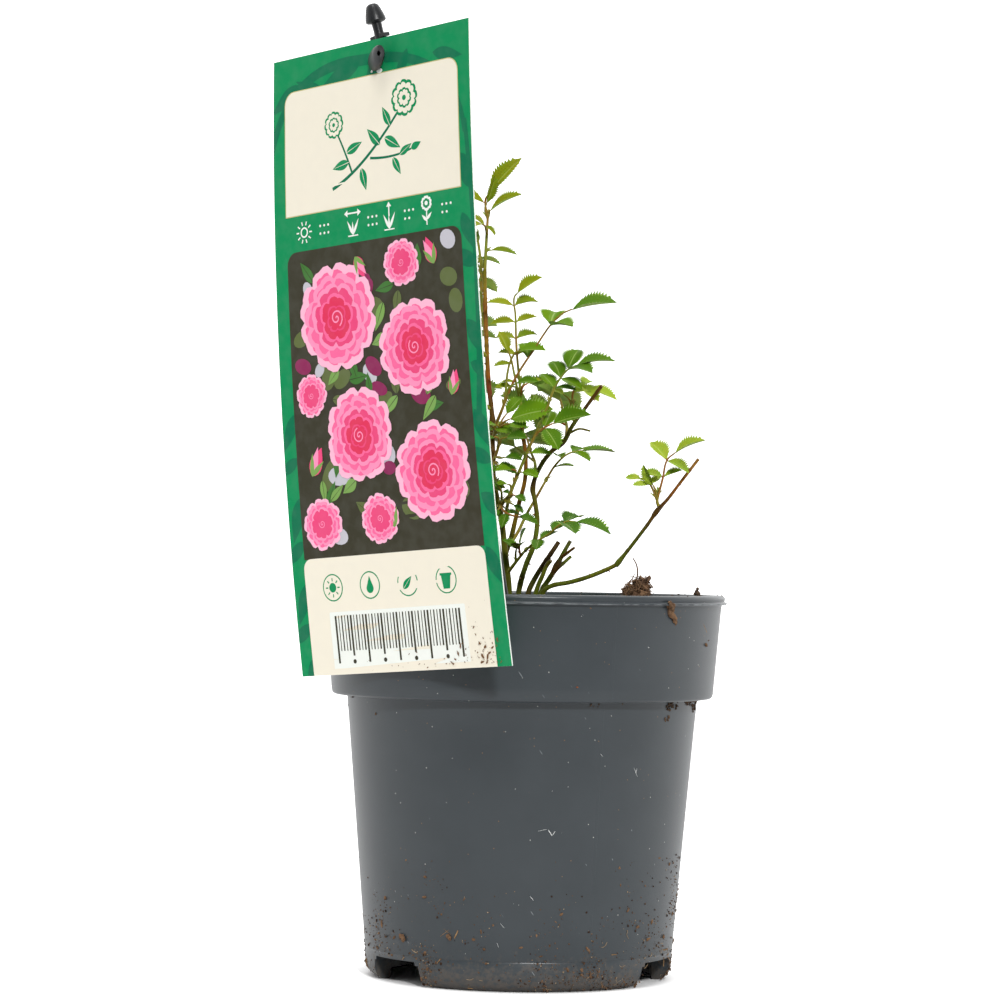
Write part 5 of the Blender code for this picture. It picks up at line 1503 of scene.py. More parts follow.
# Each spray of foliage is one stem with compound leaves: the cane and the height on its
# side where the stem starts, or None for its tip; the tint of its leaves, how far they are
# folded in degrees, how much they arch, how broad they are, and its count of bracts; the
# places that the stem grows through; and its leaves. Young growth is yellower, slimmer and
# more folded. Each leaf has its place along the stem, the sides that bear leaflets from the
# lowest pair up (L left, R right, B both), the length of its end leaflet, the azimuth and
# rise that its upper side faces, and the places that its own stalk grows through.
SPRAYS = {
    "leaves_left_tip": ("cane_left", None, "fresh", 36, 0.2, 0.6, 0, (
        (-13.7, 7, 236.4), (-13.4, 8, 243.5)), (
        (1, "L", 15, -80, 46, (-14.2, 7.8, 249), (-13.1, 7.4, 250.8)),
        (0.95, "", 12.4, -86, 52, (-13.4, 7.2, 244.6), (-12.8, 6.8, 245.2)),
        (0.98, "", 9.4, -60, 22, (-14.3, 7, 246.2), (-13.9, 6.8, 247.4)),
        (0.7, "B", 7.2, -80, 55, (-14.2, 5.5, 240), (-15, 3.5, 240.4)),
        (0.38, "", 8.6, -90, 50, (-13, 6.6, 232.4), (-12.4, 6.6, 232.5)),
        (0.2, "B", 9, 85, 60, (-16.5, 14, 230.5), (-17, 20, 231.5)))),
    "leaves_left_thin": ("cane_left", 206, "fresh", 26, 0.22, 0.85, 26, (
        (-14.9, 6.6, 215), (-15.5, 7, 229), (-16.8, 8, 237.5)), (
        (1, "BB", 11.8, 170, 50, (-22.5, 12, 237), (-29, 13, 241)),
        (0.75, "BB", 12, -120, 55, (-20.5, 7, 227), (-28, 2, 229)),
        (0.5, "B", 11.5, 80, 55, (-17, 17, 224), (-19, 24, 226)))),
    "leaves_left_upper": ("cane_left", 198, "mid", 22, 0.24, 1, 0, (
        (-18, -1, 203), (-22, -4, 206)), (
        (1, "BB", 14.5, -120, 60, (-29, -8, 210), (-36, -11, 211)),
        (0.6, "B", 11, 170, 65, (-24, 2, 206), (-31, 6, 207.5)))),
    "leaves_left_back": ("cane_left", 190, "mid", 22, 0.24, 1, 0, (
        (-15, 9, 196), (-17, 14, 201)), (
        (1, "BB", 13.8, 95, 60, (-18.5, 21, 207), (-20, 28, 210)),
        (0.7, "B", 11.8, 170, 60, (-24, 15, 200), (-31, 15, 201)))),
    "leaves_left_middle": ("cane_left", 181, "mid", 20, 0.26, 1, 0, (
        (-15, -1, 184), (-19, -3, 186.5)), (
        (1, "BB", 15.5, -130, 65, (-27, -6, 190), (-35, -9, 190.5)),
        (0.6, "BB", 12.2, -90, 60, (-20, -9, 185), (-24, -17, 186)))),
    "leaves_left_front": ("cane_left", 160, "deep", 20, 0.26, 1, 0, (
        (-13, -9, 162), (-16, -13, 164)), (
        (1, "BB", 14, -110, 60, (-21, -20, 168), (-27, -26, 169)),
        (0.5, "B", 12, 180, 60, (-19, -8, 164), (-27, -8, 166)))),
    "leaves_right_upper": ("cane_left", 174, "mid", 26, 0.24, 0.95, 0, (
        (-7.8, -7.5, 180.4), (-6.6, -8.5, 183.8)), (
        (1, "LB", 14.2, -92, 66, (-4, -10.5, 189.8), (-0.6, -12, 195.5), (2.2, -13, 199.6),
         (5.1, -14, 204.2), (7, -14.5, 206.9), (10.7, -15.2, 210.7), (13.6, -15.6, 212.1)),
        (0.9, "", 9.2, -92, 52, (-4, -10.4, 198.4), (-2.8, -11.2, 198.9)),
        (0.8, "", 7.8, -90, 50, (-5.6, -10, 187.4), (-3.6, -11, 188.6)))),
    "leaves_inner_upper": ("cane_left", 171.8, "mid", 18, 0.2, 1.08, 0, (
        (-9.6, -6, 173.4), (-8.4, -7.5, 175.3)), (
        (1, "", 14.8, -90, 44, (-7.1, -9.5, 176.5), (-5.5, -10.5, 177.3)),
        (0.9, "", 7.6, -100, 46, (-7.5, -7.5, 177.5), (-6.4, -7.5, 179)),
        (0.8, "", 7.4, -90, 50, (-7.1, -10.5, 175.5), (-5.5, -12, 175.8)),
        (0.6, "", 4.8, -90, 50, (-8.8, -9.5, 175.2), (-9.6, -10.5, 175.6)),
        (0.3, "B", 7.6, -90, 50, (-10.3, -9.5, 174.5), (-11.5, -11, 174.8)))),
    "leaves_inner_low": ("cane_left", 164, "deep", 22, 0.24, 1, 0, (
        (-9.2, -7, 167), (-8.6, -9, 168.8)), (
        (1, "", 8, -90, 46, (-7.8, -12, 171), (-6.4, -13.5, 171.4)),
        (0.8, "", 5, -90, 48, (-8.9, -12, 171.3), (-9.9, -14, 171.5)),
        (0.4, "", 6.4, -90, 52, (-7.9, -9.5, 165), (-6.8, -10.5, 165.2)),
        (0.15, "B", 6.2, -90, 52, (-8.5, -8, 162.5), (-7.2, -9.5, 162.3)))),
    "leaves_inner_foot": ("cane_left", 150, "deep", 22, 0.22, 1, 6, (
        (-7, -11, 151.3), (-5.5, -13.5, 152.6)), (
        (1, "", 5.2, -90, 52, (-4.2, -15, 153.2), (-3.3, -16, 153.1)),
        (0.8, "", 4.4, -90, 50, (-4.6, -14, 150.7), (-3.7, -14.5, 150.2)),
        (0.5, "B", 5.8, -90, 55, (-7.7, -13, 154.8), (-8.5, -14, 155.9)),
        (0.25, "B", 6.6, -90, 55, (-6.4, -12, 147.9), (-4.1, -13, 146.8), (-2.2, -13.5, 146.5)),
        (0.15, "", 3.6, -90, 52, (-8, -12.5, 149.1), (-8.4, -13.5, 148.6)))),
    "leaves_centre": ("cane_centre", None, "fresh", 30, 0.26, 0.92, 5, (
        (-2, -4, 183.2), (-2.2, -3.6, 188.6)), (
        (1, "BBBB", 9.6, -88, 54, (-3.5, -2.2, 200.8), (-4, -1.4, 211.3), (-4.4, -1.2, 216.9),
         (-3.6, -1.4, 218)),
        (0.8, "", 5.4, -90, 54, (-3, -4.6, 187.7), (-4.6, -5, 188)),
        (0.7, "", 5, -88, 54, (-1.1, -3.8, 188.3), (0, -3.6, 189)),
        (0.45, "LL", 7.2, -92, 58, (-4.2, -6, 192.6), (-5.2, -6.6, 197), (-6, -6.8, 198.9)))),
    "leaves_middle": ("cane_left", 143.7, "mid", 20, 0.24, 1.05, 7, (
        (-4.9, -10, 153), (-2.7, -12, 159), (0.9, -14, 167.9), (3.4, -15, 173.6),
        (7, -16, 182.1)), (
        (1, "BBB", 12, -86, 63, (8.6, -16, 186.9), (10.4, -16, 190.1), (12.9, -16, 193.1),
         (15.4, -16.4, 194.4)),
        (0.76, "B", 12.4, -90, 50, (5.9, -16.4, 174.7), (8.1, -17, 175.8)),
        (0.56, "", 6.8, -90, 50, (0.3, -15.5, 166.4), (1.3, -16, 166.6)),
        (0.42, "", 6.6, -90, 48, (-2.1, -14.2, 160.4), (-1.2, -15, 160.5)),
        (0.34, "", 6, -90, 52, (-3.2, -13, 161), (-4.2, -13.6, 161.3)),
        (0.22, "", 4.4, -90, 52, (-4.7, -12, 156.3), (-5.5, -12.8, 156.6)))),
    "leaves_tall_young": ("cane_tall", 177, "young", 28, 0.22, 0.95, 0, (
        (14.6, -3.5, 180), (14.7, -2.8, 182.2)), (
        (1, "RB", 9.6, -88, 50, (15.1, -1.5, 187.3), (17, -0.5, 188.8), (20.2, 0, 188.4)),
        (0.7, "", 5.2, -90, 55, (13.5, -2, 184.5), (12, -1, 185.8)))),
    "leaves_right_spray": ("cane_centre", 137, "mid", 26, 0.22, 0.9, 0, (
        (-2, 7, 142), (0.3, 8, 147), (3.6, 9.5, 153), (6.3, 11, 158)), (
        (1, "RLB", 11.2, -84, 72, (9.8, 12.2, 163.8), (13.8, 13, 167.4), (17.8, 13, 168.4)),)),
    "leaves_low_right": ("cane_left", 129, "deep", 20, 0.22, 1.08, 0, (
        (-2.9, -10, 131.7), (-0.1, -15, 135.3)), (
        (1, "BLB", 11.6, -88, 72, (3, -18, 138.1), (7.6, -21, 141), (10.7, -23, 143.7),
         (13.2, -24, 145), (15.7, -24.6, 145)),
        (0.85, "R", 6.8, -90, 50, (-1.6, -16.5, 136.5), (-1.4, -17.5, 137.8)),
        (0.55, "", 6.6, -88, 50, (-2.7, -14.5, 135.2), (-2.5, -16, 136.2)))),
    "leaves_bough_right": ("bough_right_high", 150, "young", 30, 0.2, 0.9, 0, (
        (41.8, -13, 152), (42.1, -13.2, 153.8)), (
        (1, "BB", 10.4, -88, 56, (43.4, -14, 159), (44.8, -15, 165.2), (47, -15.8, 167.2)),
        (0.92, "", 7.4, -150, 20, (41.2, -13, 155.6), (40.6, -13, 156.8)),
        (0.7, "B", 6, -90, 52, (40, -12, 156.5), (38.6, -11.2, 158.5), (36.8, -10.4, 159)))),
    "leaves_left_low": ("cane_left_low", 142, "mid", 22, 0.24, 1, 0, (
        (-37, 6, 145), (-37.2, 5, 148)), (
        (1, "BB", 11.5, -110, 50, (-38, 3, 154), (-41, 0, 159)),
        (0.7, "B", 10.5, 90, 55, (-35, 10, 151), (-34, 16, 155)))),
    "leaves_back_tip": ("cane_back_left", None, "fresh", 24, 0.24, 0.95, 0, (
        (-22.5, 30.5, 190), (-23.5, 32.5, 193)), (
        (1, "BB", 13.8, 100, 45, (-24.5, 37, 198), (-27.5, 42, 201)),
        (0.6, "B", 12, 180, 55, (-28, 28, 192), (-35, 25.5, 193.5)),
        (0.3, "B", 12, 70, 55, (-19, 35, 189), (-16.5, 41, 190)))),
    "leaves_back_side": ("cane_back_left", 156, "mid", 22, 0.24, 1, 0, (
        (-17, 23, 157), (-20, 26, 158)), (
        (1, "BB", 14, 135, 60, (-26, 32, 161), (-33, 37, 162)),
        (0.5, "B", 11.5, 85, 60, (-17, 30, 158), (-16, 38, 160)))),
    "leaves_back": ("cane_tall", 159, "deep", 22, 0.24, 1, 0, (
        (3, 5, 164), (1.5, 11, 168)), (
        (1, "BB", 14, 90, 55, (0, 18, 173), (-1.5, 25, 175)),
        (0.6, "B", 11, 120, 55, (-3, 11, 169), (-8, 15, 172)))),
    "leaves_right_back": ("cane_tall", 172, "mid", 24, 0.24, 1, 0, (
        (13, 2, 176), (12, 7, 180)), (
        (1, "BB", 13, 80, 55, (10.5, 14, 186), (9, 20, 188)),
        (0.6, "B", 10, 100, 50, (6, 8, 180), (1, 10, 183)))),
}
HANDS = {"L": (-1,), "R": (1,), "B": (-1, 1)}
# The two shades of each tint and the colour of its specks.
LEAF_TINTS = {
    "young": ((150, 174, 50), (130, 160, 42), (196, 172, 64)),
    "fresh": ((136, 146, 20), (114, 134, 16), (170, 140, 44)),
    "mid": ((104, 138, 18), (86, 122, 16), (66, 122, 34)),
    "deep": ((74, 112, 18), (62, 98, 16), (50, 100, 30)),
}
# A blade's columns of verts, in half widths, and a sheath's outline from foot to tip.
COLUMNS = (-1.0, -0.70, -0.38, -0.055, 0.055, 0.38, 0.70, 1.0)
SHEATH = ((0.0, 0.35), (0.2, 0.8), (0.45, 1.0), (0.7, 0.75), (0.88, 0.4), (1.0, 0.04))


def stem_start(cane, height, towards):
    """Where a stem starts: sunk in the cane's tip, or in its side that faces a place."""
    if height is None:
        tip, before = CANE_PATHS[cane][0][-1], CANE_PATHS[cane][0][-2]
        return tip - (tip - before).normalized() * 0.0004
    axis, along, radius = cane_at(cane, height * MM)
    span = towards - axis
    return axis + (span - along * span.dot(along)).normalized() * (radius * 0.8)


def across(way, upper):
    """The upper side's direction made square to the way, and the direction to its side."""
    normal = (upper - way * upper.dot(way)).normalized()
    return normal, way.cross(normal)


def leaflets_of(route, sides, size, upper, rng):
    """The leaflets of one compound leaf, by rule: opposite pairs that grow in size up the
    stalk, and one at its end. Each is its root, its direction and its length."""
    pairs = len(sides)
    found = []
    for pair, side in enumerate(sides):
        share = FIRST_PAIR + (LAST_PAIR - FIRST_PAIR) * (pair + 0.5) / pairs
        root, along = at_share(route, share)
        sideways = across(along, upper)[1]
        for hand in HANDS[side]:
            angle = radians(SIDE_ANGLE + rng.uniform(-SIDE_SPREAD, SIDE_SPREAD))
            way = along * cos(angle) + sideways * hand * sin(angle)
            way = (way + upper * rng.uniform(-MOST_DROOP, MOST_LIFT)).normalized()
            growth = SMALLEST_PAIR + PAIR_GROWTH * (pair + 1) / pairs
            found.append((root, way, size * growth * rng.uniform(*SIZE_SPREAD)))
    root, along = at_share(route, 1.0)
    sideways = along.cross(upper) * rng.uniform(-END_TURN, END_TURN)
    found.append((root, (along + sideways - UP * END_DROOP).normalized(), size))
    return found


def outline(s):
    """A leaflet's half width at this share of its length, of its greatest."""
    return max(s ** 0.58 * (1.0 - s) ** 0.80 / 0.391, 0.0)


def blade(root, way, upper, length, fold, arch, broad, rng):
    """A leaflet: toothed edges drawn out to a point, a sunken pale midrib, side veins that
    slant forward with the leaf puckered between them, folded along its middle and arched
    along its length. Gives verts, faces and slots: 0 above, 1 below, 2 midrib."""
    normal, side = across(way, upper)
    half = LEAFLET_WIDTH * length / 2 * broad * rng.uniform(0.92, 1.06)
    tilt = tan(radians(fold * rng.uniform(0.75, 1.3)))
    arch = arch * rng.uniform(0.6, 1.4)
    sweep = rng.uniform(-0.06, 0.06)
    twist = rng.uniform(-0.24, 0.24)
    curl = rng.uniform(0.05, 0.40)
    small = (LARGE_LEAF - length) / (LARGE_LEAF - SMALL_LEAF)
    bite = TOOTH_BITE + SMALL_BITE * min(max(small, 0.0), 1.0)
    teeth = round(TEETH + TEETH_PER_METRE * length)
    # Each station is a share of the length, the edge's width there and how far it leans ahead.
    stations = [(0.012, 0.7, 0.0)]
    for tooth in range(teeth):
        low = FIRST_TOOTH + TOOTHED * tooth / teeth
        stations += [(low, 1.0 - bite, -0.006),
                     (low + 0.6 * TOOTHED / teeth, 1.0 + bite, TOOTH_LEAN / teeth)]
    stations += [(0.91, 0.96, 0.0), (0.96, 1.0, 0.0)]
    verts = []
    for back in (0.0, 1.0):
        for row, (s, tooth, ahead) in enumerate(stations):
            wide = outline(s)
            for c in COLUMNS:
                size, edge = abs(c), abs(c) == 1.0
                x = c * half * wide * (tooth if edge else 1.0)
                forward = s + VEIN_SLANT * size ** 1.4 * wide * (1.0 - s)
                forward += ahead if edge else 0.0
                pucker = PUCKER * (1.0 if row % 2 else -1.0) * (0.3 < size < 0.9) * wide
                sunk = RIB_DEPTH if size < 0.1 else 0.0
                z = abs(x) * tilt * (1.0 - curl * size)
                z += length * (pucker - sunk - arch * (s * s - 0.25 * s))
                z -= back * length * BLADE_THICKNESS * (0.0 if edge else 1.0)
                x += length * sweep * s * s
                z += x * twist * s
                verts.append(root + way * forward * length + side * x + normal * z)
        tip = way * BLADE_TIP + side * sweep * 1.05 - normal * arch * 0.80
        verts.append(root + tip * length)
    count, columns = len(stations), len(COLUMNS)
    below = count * columns + 1
    faces, slots = [], []
    for row in range(count):
        for i in range(columns - 1):
            a = row * columns + i
            b, c, d = a + 1, a + columns + 1, a + columns
            if row < count - 1:
                faces += [(a, b, c, d), (below + d, below + c, below + b, below + a)]
            else:
                faces += [(a, b, below - 1), (2 * below - 1, below + b, below + a)]
            slots += [2 if COLUMNS[i] < 0 < COLUMNS[i + 1] else 0, 1]
    return verts, faces, slots


def leaf_finish(name, colour, roughness, speck=None):
    finish = Finish(name, colour, roughness, gloss=0.10)
    if speck:
        finish.mottled(speck, 330.0, 0.55, 4200.0, 0.00002, 0.4)
    return finish.done()


def sheath(root, way, upper, length, width, fold=0.5):
    """A small folded pointed leaf, such as a stipule or the first leaf of a shoot."""
    normal, side = across(way.normalized(), upper)
    way, verts, faces = way.normalized(), [], []
    for back in (0, 1):
        for s, w in SHEATH:
            for c in (-1.0, 0.0, 1.0):
                z = abs(c) * w * width / 2 * fold - length * 0.12 * s * s
                z -= back * length * 0.02 * (1.0 if c == 0.0 else 0.4)
                verts.append(root + way * s * length + side * c * w * width / 2 + normal * z)
    below = len(SHEATH) * 3
    for row in range(len(SHEATH) - 1):
        a = row * 3
        for i in (a, a + 1):
            b = below + i
            faces += [(i, i + 1, i + 4, i + 3), (b + 3, b + 4, b + 1, b)]
        faces += [(a + 3, below + a + 3, below + a, a),
                  (a + 2, below + a + 2, below + a + 5, a + 5)]
    last = below - 3
    faces += [(0, 1, below + 1, below), (1, 2, below + 2, below + 1),
              (last + 1, last, below + last, below + last + 1),
              (last + 2, last + 1, below + last + 1, below + last + 2)]
    return verts, faces


def build_foliage():
    """Every spray: its leaflets in one piece each, and all stalks and sheaths joined by kind."""
    # The undersides are paler green, as rose leaves are, and brighter still as painted light that
    # lifts the shade they face down into.
    under = leaf_finish("leaf_underside", linear(140, 174, 78), 0.62, linear(164, 160, 84))
    looks = {}
    for tint, (*shades, speck) in LEAF_TINTS.items():
        shades, speck = [linear(*shade) for shade in shades], linear(*speck)
        rib = mix(shades[0], linear(206, 214, 140), 0.24)
        looks[tint] = [
            *(leaf_finish(f"leaf_{tint}_{i}", shade, 0.46, mix(shade, speck, 0.35))
              for i, shade in enumerate(shades)), under, leaf_finish(f"midrib_{tint}", rib, 0.5)]
    routes, sheaths = {"green": [], "red": []}, Shapes()
    for index, (name, spray) in enumerate(SPRAYS.items()):
        cane, height, tint, fold, arch, broad, bracts, places, leaves = spray
        rule, fine = random.Random(index), random.Random(index + 100)
        places = [place_of(place) for place in places]
        stem = smooth_route([stem_start(cane, height, places[0]), *places], 8)
        routes["green"].append((stem, tapered(TWIG * 1.05, PETIOLE, len(stem))))
        blades = Shapes()
        for number, (share, sides, size, azimuth, rise, *places) in enumerate(leaves):
            fork, along = at_share(stem, share)
            route = smooth_route([fork - along * SUNK, *map(place_of, places)], 7)
            kind = "red" if (index + number) % 3 == 0 else "green"
            routes[kind].append((route, tapered(PETIOLE, PETIOLE * STALK_TAPER, len(route))))
            upper = heading(azimuth, rise)
            first_way = (route[3] - route[0]).normalized()
            for hand in (-1, 1):
                away = first_way.cross(upper).normalized() * hand
                sheaths.add(*sheath(route[1], first_way + away * 0.45, upper,
                                    fine.uniform(0.0018, 0.0030), 0.0008))
            for root, way, length in leaflets_of(route, sides, size * MM, upper, rule):
                base = root + way * 0.035 * length
                routes[kind].append(([root - way * 0.0002, root + way * 0.02 * length,
                                      base + way * length * 0.06],
                                     [PETIOLE * 0.62, PETIOLE * 0.50, PETIOLE * 0.34]))
                verts, faces, slots = blade(
                    base, way, upper, length * 0.97, fold, arch, broad, fine)
                shade = fine.choice((0, 0, 1)) if length > 0.006 else 0
                blades.add(verts, faces, [(shade, 2, 3)[slot] for slot in slots])
        for _ in range(bracts):
            place, along = at_share(stem, fine.uniform(0.02, 0.98))
            lean = heading(fine.uniform(0, 360), 5)
            sheaths.add(*sheath(place, along + lean * fine.uniform(0.35, 1.1), lean,
                                fine.uniform(0.0018, 0.0036), fine.uniform(0.0008, 0.0014), 0.7))
        along = (stem[-1] - stem[-2]).normalized()
        for _ in range(3):
            lean = heading(fine.uniform(0, 360), 10)
            sheaths.add(*sheath(stem[-1], along + lean * 0.35, lean,
                                fine.uniform(0.0016, 0.0028), 0.0009, 0.9))
        piece = blades.piece("blades_" + name[len("leaves_"):])
        bm = opened(piece.data)  # the upper and lower sheets join along their shared outline
        bmesh.ops.remove_doubles(bm, verts=bm.verts, dist=1e-7)
        written(bm, piece.data)
        finish_piece(piece, [name], looks[tint], 75.0)
    for kind, colour, patch in (("green", (128, 134, 44), (150, 106, 44)),
                                ("red", (156, 98, 46), (132, 118, 42))):
        finish = Finish(f"stalk_{kind}", linear(*colour), 0.55, gloss=0.14)
        finish.mottled(linear(*patch), 90.0, 0.8, 4000.0, 0.00004, 0.6)
        finish_piece(tubes(f"leaf_stalks_{kind}", routes[kind], 8, finish.done()), list(SPRAYS),
                     angle=60.0)
    finish_piece(sheaths.piece("stipules"), list(SPRAYS),
                 [leaf_finish("stipule", linear(142, 158, 74), 0.5, linear(160, 120, 74))], 60.0)


# ======================================================================== soil on the pot

SKIRT_FOOT, SKIRT_TOP, SKIRT_ROWS, SKIRT_SIDES = 0.0006, 0.0406, 27, 128
# Where soil lies thickest round the foot: the turn and the spread, in radians.
DRIFTS = ((-0.26, 0.22), (-2.25, 0.30))


def foot_cover(place):
    """How thick crumbs lie on the pot: thick round its foot, none in its notches."""
    turn = atan2(place.y, place.x)
    for notch in turns(NOTCHES, NOTCH_TURN):
        away = (turn - notch + pi) % tau - pi
        if abs(away) < 0.25 and place.z < NOTCH_HEIGHT + 0.0006:
            return 0.0
    drift = sum(exp(-((turn - middle) / spread) ** 2) for middle, spread in DRIFTS)
    low = exp(-place.z / (0.0085 + 0.0060 * drift))
    patch = noise.noise(place * 70.0) + 0.5 * noise.noise(place * 230.0)
    return 2.3 * low * max(patch + 0.14, 0.02) + 0.02 * max(patch - 0.1, 0.0)


def build_dirt():
    """Crumbs of compost and threads stuck on the pot."""
    verts = [around(heel_radius(z), turn, z) for z in tapered(SKIRT_FOOT, SKIRT_TOP, SKIRT_ROWS)
             for turn in turns(SKIRT_SIDES)]
    strew(mesh_of("skirt", verts, quads(SKIRT_ROWS, SKIRT_SIDES)), ["pot"], (
        ("foot_crumbs", GRAINS, 3500, 0.12, 0.72, 41, SOIL_BROWN),
        ("foot_dark", CHUNKS, 560, 0.15, 0.9, 42, SOIL_DARK),
        ("foot_grit", GRAINS, 600, 0.12, 0.6, 43, SOIL_PALE),
        ("foot_chips", CHIPS, 330, 0.3, 1.3, 44, BARK_CHIP)), foot_cover)

    rng = random.Random(45)
    for name, material, count, thick, bend in (("foot_threads", SOIL_PALE, 44, 0.00006, 0.7),
                                               ("foot_straws", STRAW, 26, 0.00014, 0.15)):
        routes = []
        for _ in range(count):
            turn, z = rng.uniform(0, tau), 0.0012 + abs(rng.gauss(0.0, 0.0105))
            way, length = rng.uniform(0, tau), rng.uniform(0.0012, 0.0042)
            points = []
            for _ in range(6):
                way += rng.uniform(-bend, bend)
                turn += cos(way) * length / 6 / BODY_FOOT
                z = max(z + sin(way) * length / 6, 0.0008)
                points.append(around(heel_radius(z) + thick, turn, z))
            points = smooth_route(points, 2)
            routes.append((points, [thick * rng.uniform(0.7, 1.4)] * len(points)))
        finish_piece(tubes(name, routes, 5, material), ["pot"])


def on_side(turn, height, proud=0.0):
    """A point on the pot's side, at the angle in degrees, standing proud by so much."""
    radius = wall_radius(height)
    if height > LIP_FOOT:
        radius = LIP_RADIUS - 0.0002
    elif height > COLLAR_BOTTOM:
        up = (height - COLLAR_BOTTOM) / (POT_HEIGHT - COLLAR_BOTTOM)
        radius = COLLAR_FOOT + (COLLAR_TOP - COLLAR_FOOT) * up
    return around(radius + proud, radians(turn), height)


# What clings to the pot's side, by its colour: half its thickness, how ragged it is, and
# the angle in degrees and the height of its two ends.
STRAYS = {
    "bark": (
        (0.68, 1.3, -46.4, 120.6, -41.6, 113.8), (0.44, 1.4, -45.4, 119, -42.3, 114.6),
        (0.22, 0.6, -71.5, 118.6, -70.9, 118.2), (0.34, 0.8, -23.6, 107.2, -22.6, 106.8),
        (0.22, 0.8, -21.2, 108.4, -20.8, 108.3), (0.5, 1, -136.8, 15.8, -135.4, 14.2),
        (0.36, 1, -116, 17.2, -114.8, 15.8), (0.3, 0.9, 75, 114.2, 77, 111.8)),
    "straw": (
        (0.13, 0.3, -28, 115, -22.6, 110.4), (0.08, 0.4, -84, 117.2, -81.6, 113.6),
        (0.08, 1, -119, 16.5, -115.4, 18.8), (0.06, 0.9, -117.5, 19, -114.6, 17.2),
        (0.07, 0.4, -64.5, 4, -61.5, 6.2), (0.07, 0.4, 160, 111, 164, 107.5)),
    "rust": (
        (0.26, 0.7, -74.5, 94.4, -73.9, 94.3),),
    "scrape": (
        (0.12, 0.5, -71.6, 118, -74.4, 115.2), (0.18, 0.4, -51.9, 106.6, -51.6, 106.4),
        (0.16, 1.2, -80.5, 50.4, -79.3, 48.6), (0.1, 0.8, -79.3, 48.6, -78.2, 50),
        (0.05, 0.8, -84.1, 50, -81, 50.6), (0.07, 1, -50, 69.2, -48.3, 66.4),
        (0.06, 0.8, -48.7, 69, -49, 67.4), (0.05, 0.6, -63.6, 73.8, -62.7, 72.8),
        (0.09, 1.2, -86.3, 30.1, -85, 28.7), (0.05, 0.8, -96.5, 21.5, -95, 20),
        (0.05, 0.6, -97.6, 15.5, -97, 14), (0.06, 0.8, 40, 61, 42, 59),
        (0.08, 1, 120, 45, 121.5, 43.2)),
}
# Crumbs under the collar: the angle and its spread in degrees, how far down, how many
# clusters, and the size of a large crumb.
CLUSTERS = (
    (-33, 3.5, 3, 6, 1), (-19, 4, 1.2, 9, 1.1), (-8, 2, 0.8, 3, 1), (-58, 12, 1.2, 3, 0.6),
    (60, 60, 2, 9, 0.9), (180, 30, 2, 5, 0.9),
)
# Crumbs that stand on the lip: the angle in degrees, how far up they sit and their size.
RIM_CRUMBS = 230  # strewn round the lip and just inside it
LIP_CRUMBS = ((24, 0.4, 1.9), (25.2, 1.0, 1.6), (26.2, 0.2, 1.4), (24.6, 1.9, 1.2),
              (-28, -0.2, 1.1), (48, 0.0, 1.2))


def build_strays():
    """Shreds of bark and straw on the pot, pale scrapes, and crumbs caught on its edges."""
    rng = random.Random(61)
    colours = {"bark": BARK_CHIP, "straw": STRAW,
               "rust": soil("rust_crumb", (150, 88, 56), (96, 56, 36)),
               "scrape": Finish("scraped_plastic", linear(206, 208, 206), 0.6).done()}
    for kind, rows in STRAYS.items():
        routes = []
        for half, ragged, turn, height, last_turn, last_height in rows:
            half *= MM
            for strand in range(5 if half > 0.0003 else 1):
                spread = ragged * half * (1.0 if strand else 0.3)
                points = smooth_route([
                    on_side(turn + (last_turn - turn) * t,
                            (height + (last_height - height) * t) * MM, half * 0.7)
                    + Vector([rng.uniform(-spread, spread) for _ in range(3)])
                    for t in tapered(0.0, 1.0, 7)], 3)
                routes.append((points, [
                    half * (0.35 + 0.65 * sin(pi * share)) * rng.uniform(0.75, 1.15)
                    for share in tapered(0.06, 0.94, len(points))]))
        finish_piece(tubes("stray_" + kind, routes, 7, colours[kind]), ["pot"], angle=45.0)

    # Crumbs hang in clusters under the collar, stand on its foot, and lie along the lip.
    spots = []
    for turn, spread, low, clusters, size in CLUSTERS:
        for _ in range(clusters):
            middle = turn + rng.gauss(0, spread)
            height = COLLAR_BOTTOM - abs(rng.gauss(0, low * MM))
            for _ in range(rng.randint(2, 9)):
                z = min(height + rng.gauss(0, 0.0006), COLLAR_BOTTOM - 0.0003)
                out = around(1.0, radians(middle + rng.gauss(0, 0.9)))
                spots.append((out * (wall_radius(z) + 0.00005) + UP * z, out,
                              size * MM * rng.uniform(0.35, 1.1) ** 2))
    for _ in range(RIM_CRUMBS):
        out = around(1.0, rng.uniform(0, tau))
        inside = rng.random() < 0.7
        reach = COLLAR_TOP - WALL - 0.0003 if inside else LIP_RADIUS - rng.uniform(0.0012, 0.0028)
        drop = rng.uniform(0.0006, 0.0034) if inside else 0.0001
        spots.append((out * reach + UP * (POT_HEIGHT - drop), -out if inside else UP,
                      rng.uniform(0.0003, 0.0013 if inside else 0.0008)))
    for turn, rise, size in LIP_CRUMBS:
        spots.append((on_side(turn, POT_HEIGHT, -0.0023) + UP * rise * MM, UP, size * MM))
    finish_piece(placed("stray_crumbs", spots, CHUNKS, SOIL_BROWN), ["pot"], angle=30.0)


# ======================================================================== the studio

FLOOR_SIDE, FLOOR_FRONT, FLOOR_BACK = 4.0, -0.50, 6.0
FRONT_LIGHT, BACK_LIGHT = 0.10, 1.72  # how bright the world is before and behind
SEEN_LIGHT = 1.1  # how bright the world looks
FLOOR_BOUNCE, FLOOR_GLOW = 0.72, 0.28
WHITE = (1.0, 1.0, 1.0)
# Each sun: where it shines to, its power and its spread in degrees.
SUNS = {"ceiling": ((0.10, 0.36, -1.0), 1.0, 20.0), "key": ((-0.22, 1.0, -0.50), 2.15, 7.0)}
CAMERA_LENS, CAMERA_PLACE = 130.8, (0.0, -1.1632, 0.1321)
CAMERA_YAW, CAMERA_PITCH, CAMERA_ROLL = 0.0069, radians(90.972), 0.01525


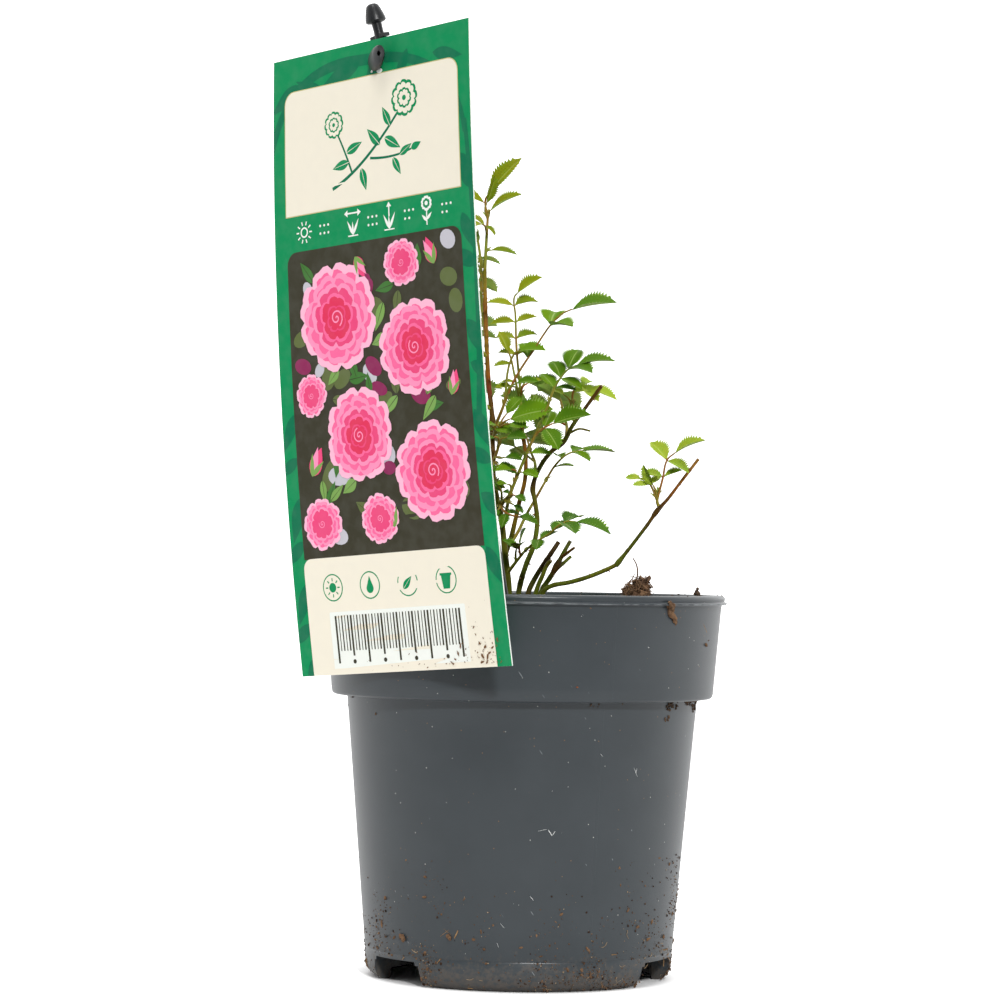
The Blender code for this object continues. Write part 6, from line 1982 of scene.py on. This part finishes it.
def camera_ray(tree):
    return tree.nodes.new("ShaderNodeLightPath").outputs["Is Camera Ray"]


def build_floor():
    floor = new_object("studio_floor", mesh_of("studio_floor", [
        (-FLOOR_SIDE, FLOOR_FRONT, 0), (FLOOR_SIDE, FLOOR_FRONT, 0), (FLOOR_SIDE, FLOOR_BACK, 0),
        (-FLOOR_SIDE, FLOOR_BACK, 0)], [(0, 1, 2, 3)]))
    finish = Finish("white_sweep", WHITE, 0.9, gloss=0.0)
    tree, seen = finish.tree, camera_ray(finish.tree)
    finish.colour = blended(tree, seen, (FLOOR_BOUNCE,) * 3, WHITE)
    # The glow starts beyond the pot's foot, so the floor under the pot stays dark.
    away = node(tree, "ShaderNodeVectorMath", {0: object_place(tree)}, operation="LENGTH")
    clear = ramp(tree, away.outputs["Value"], 0.046, 0.056, last=FLOOR_GLOW)
    fed(tree, finish.shader["Emission Color"], WHITE)
    fed(tree, finish.shader["Emission Strength"], maths(tree, "MULTIPLY", seen, clear))
    floor.data.materials.append(finish.done())


def build_world():
    """White to the eye, but it lights the plant less from the front than from the sides and
    back, so dark plastic shows its edges against it."""
    world = bpy.data.worlds.new("studio")
    bpy.context.scene.world = world
    world.use_nodes = True
    tree, ground = world.node_tree, world.node_tree.nodes["Background"].inputs
    place = tree.nodes.new("ShaderNodeTexCoord").outputs["Generated"]
    depth = node(tree, "ShaderNodeSeparateXYZ", {"Vector": place}).outputs[1]
    seen = maths(tree, "MULTIPLY", camera_ray(tree), SEEN_LIGHT)
    lit = ramp(tree, depth, -0.7, 0.6, FRONT_LIGHT, BACK_LIGHT)
    fed(tree, ground["Strength"], maths(tree, "MAXIMUM", lit, seen))
    fed(tree, ground["Color"], WHITE)


def build_studio():
    build_floor()
    build_world()
    for name, (towards, power, spread) in SUNS.items():
        light = bpy.data.lights.new(name, "SUN")
        light.energy, light.angle = power, radians(spread)
        lamp = new_object(name, light)
        lamp.rotation_euler = Vector(towards).to_track_quat("-Z", "Y").to_euler()
    camera = bpy.data.cameras.new("camera")
    camera.lens, camera.sensor_width = CAMERA_LENS, 36.0
    camera.clip_start = 0.05
    seat = new_object("camera", camera)
    seat.matrix_world = (
        Matrix.Translation(CAMERA_PLACE) @ Matrix.Rotation(CAMERA_YAW, 4, "Z")
        @ Matrix.Rotation(CAMERA_PITCH, 4, "X") @ Matrix.Rotation(CAMERA_ROLL, 4, "Z"))
    bpy.context.scene.camera = seat
    bpy.context.scene.view_settings.view_transform = "Standard"


build_studio()
build_pot()
build_compost()
build_clod()
build_card()
build_holder()
build_canes()
build_prickles()
build_foliage()
build_dirt()
build_strays()
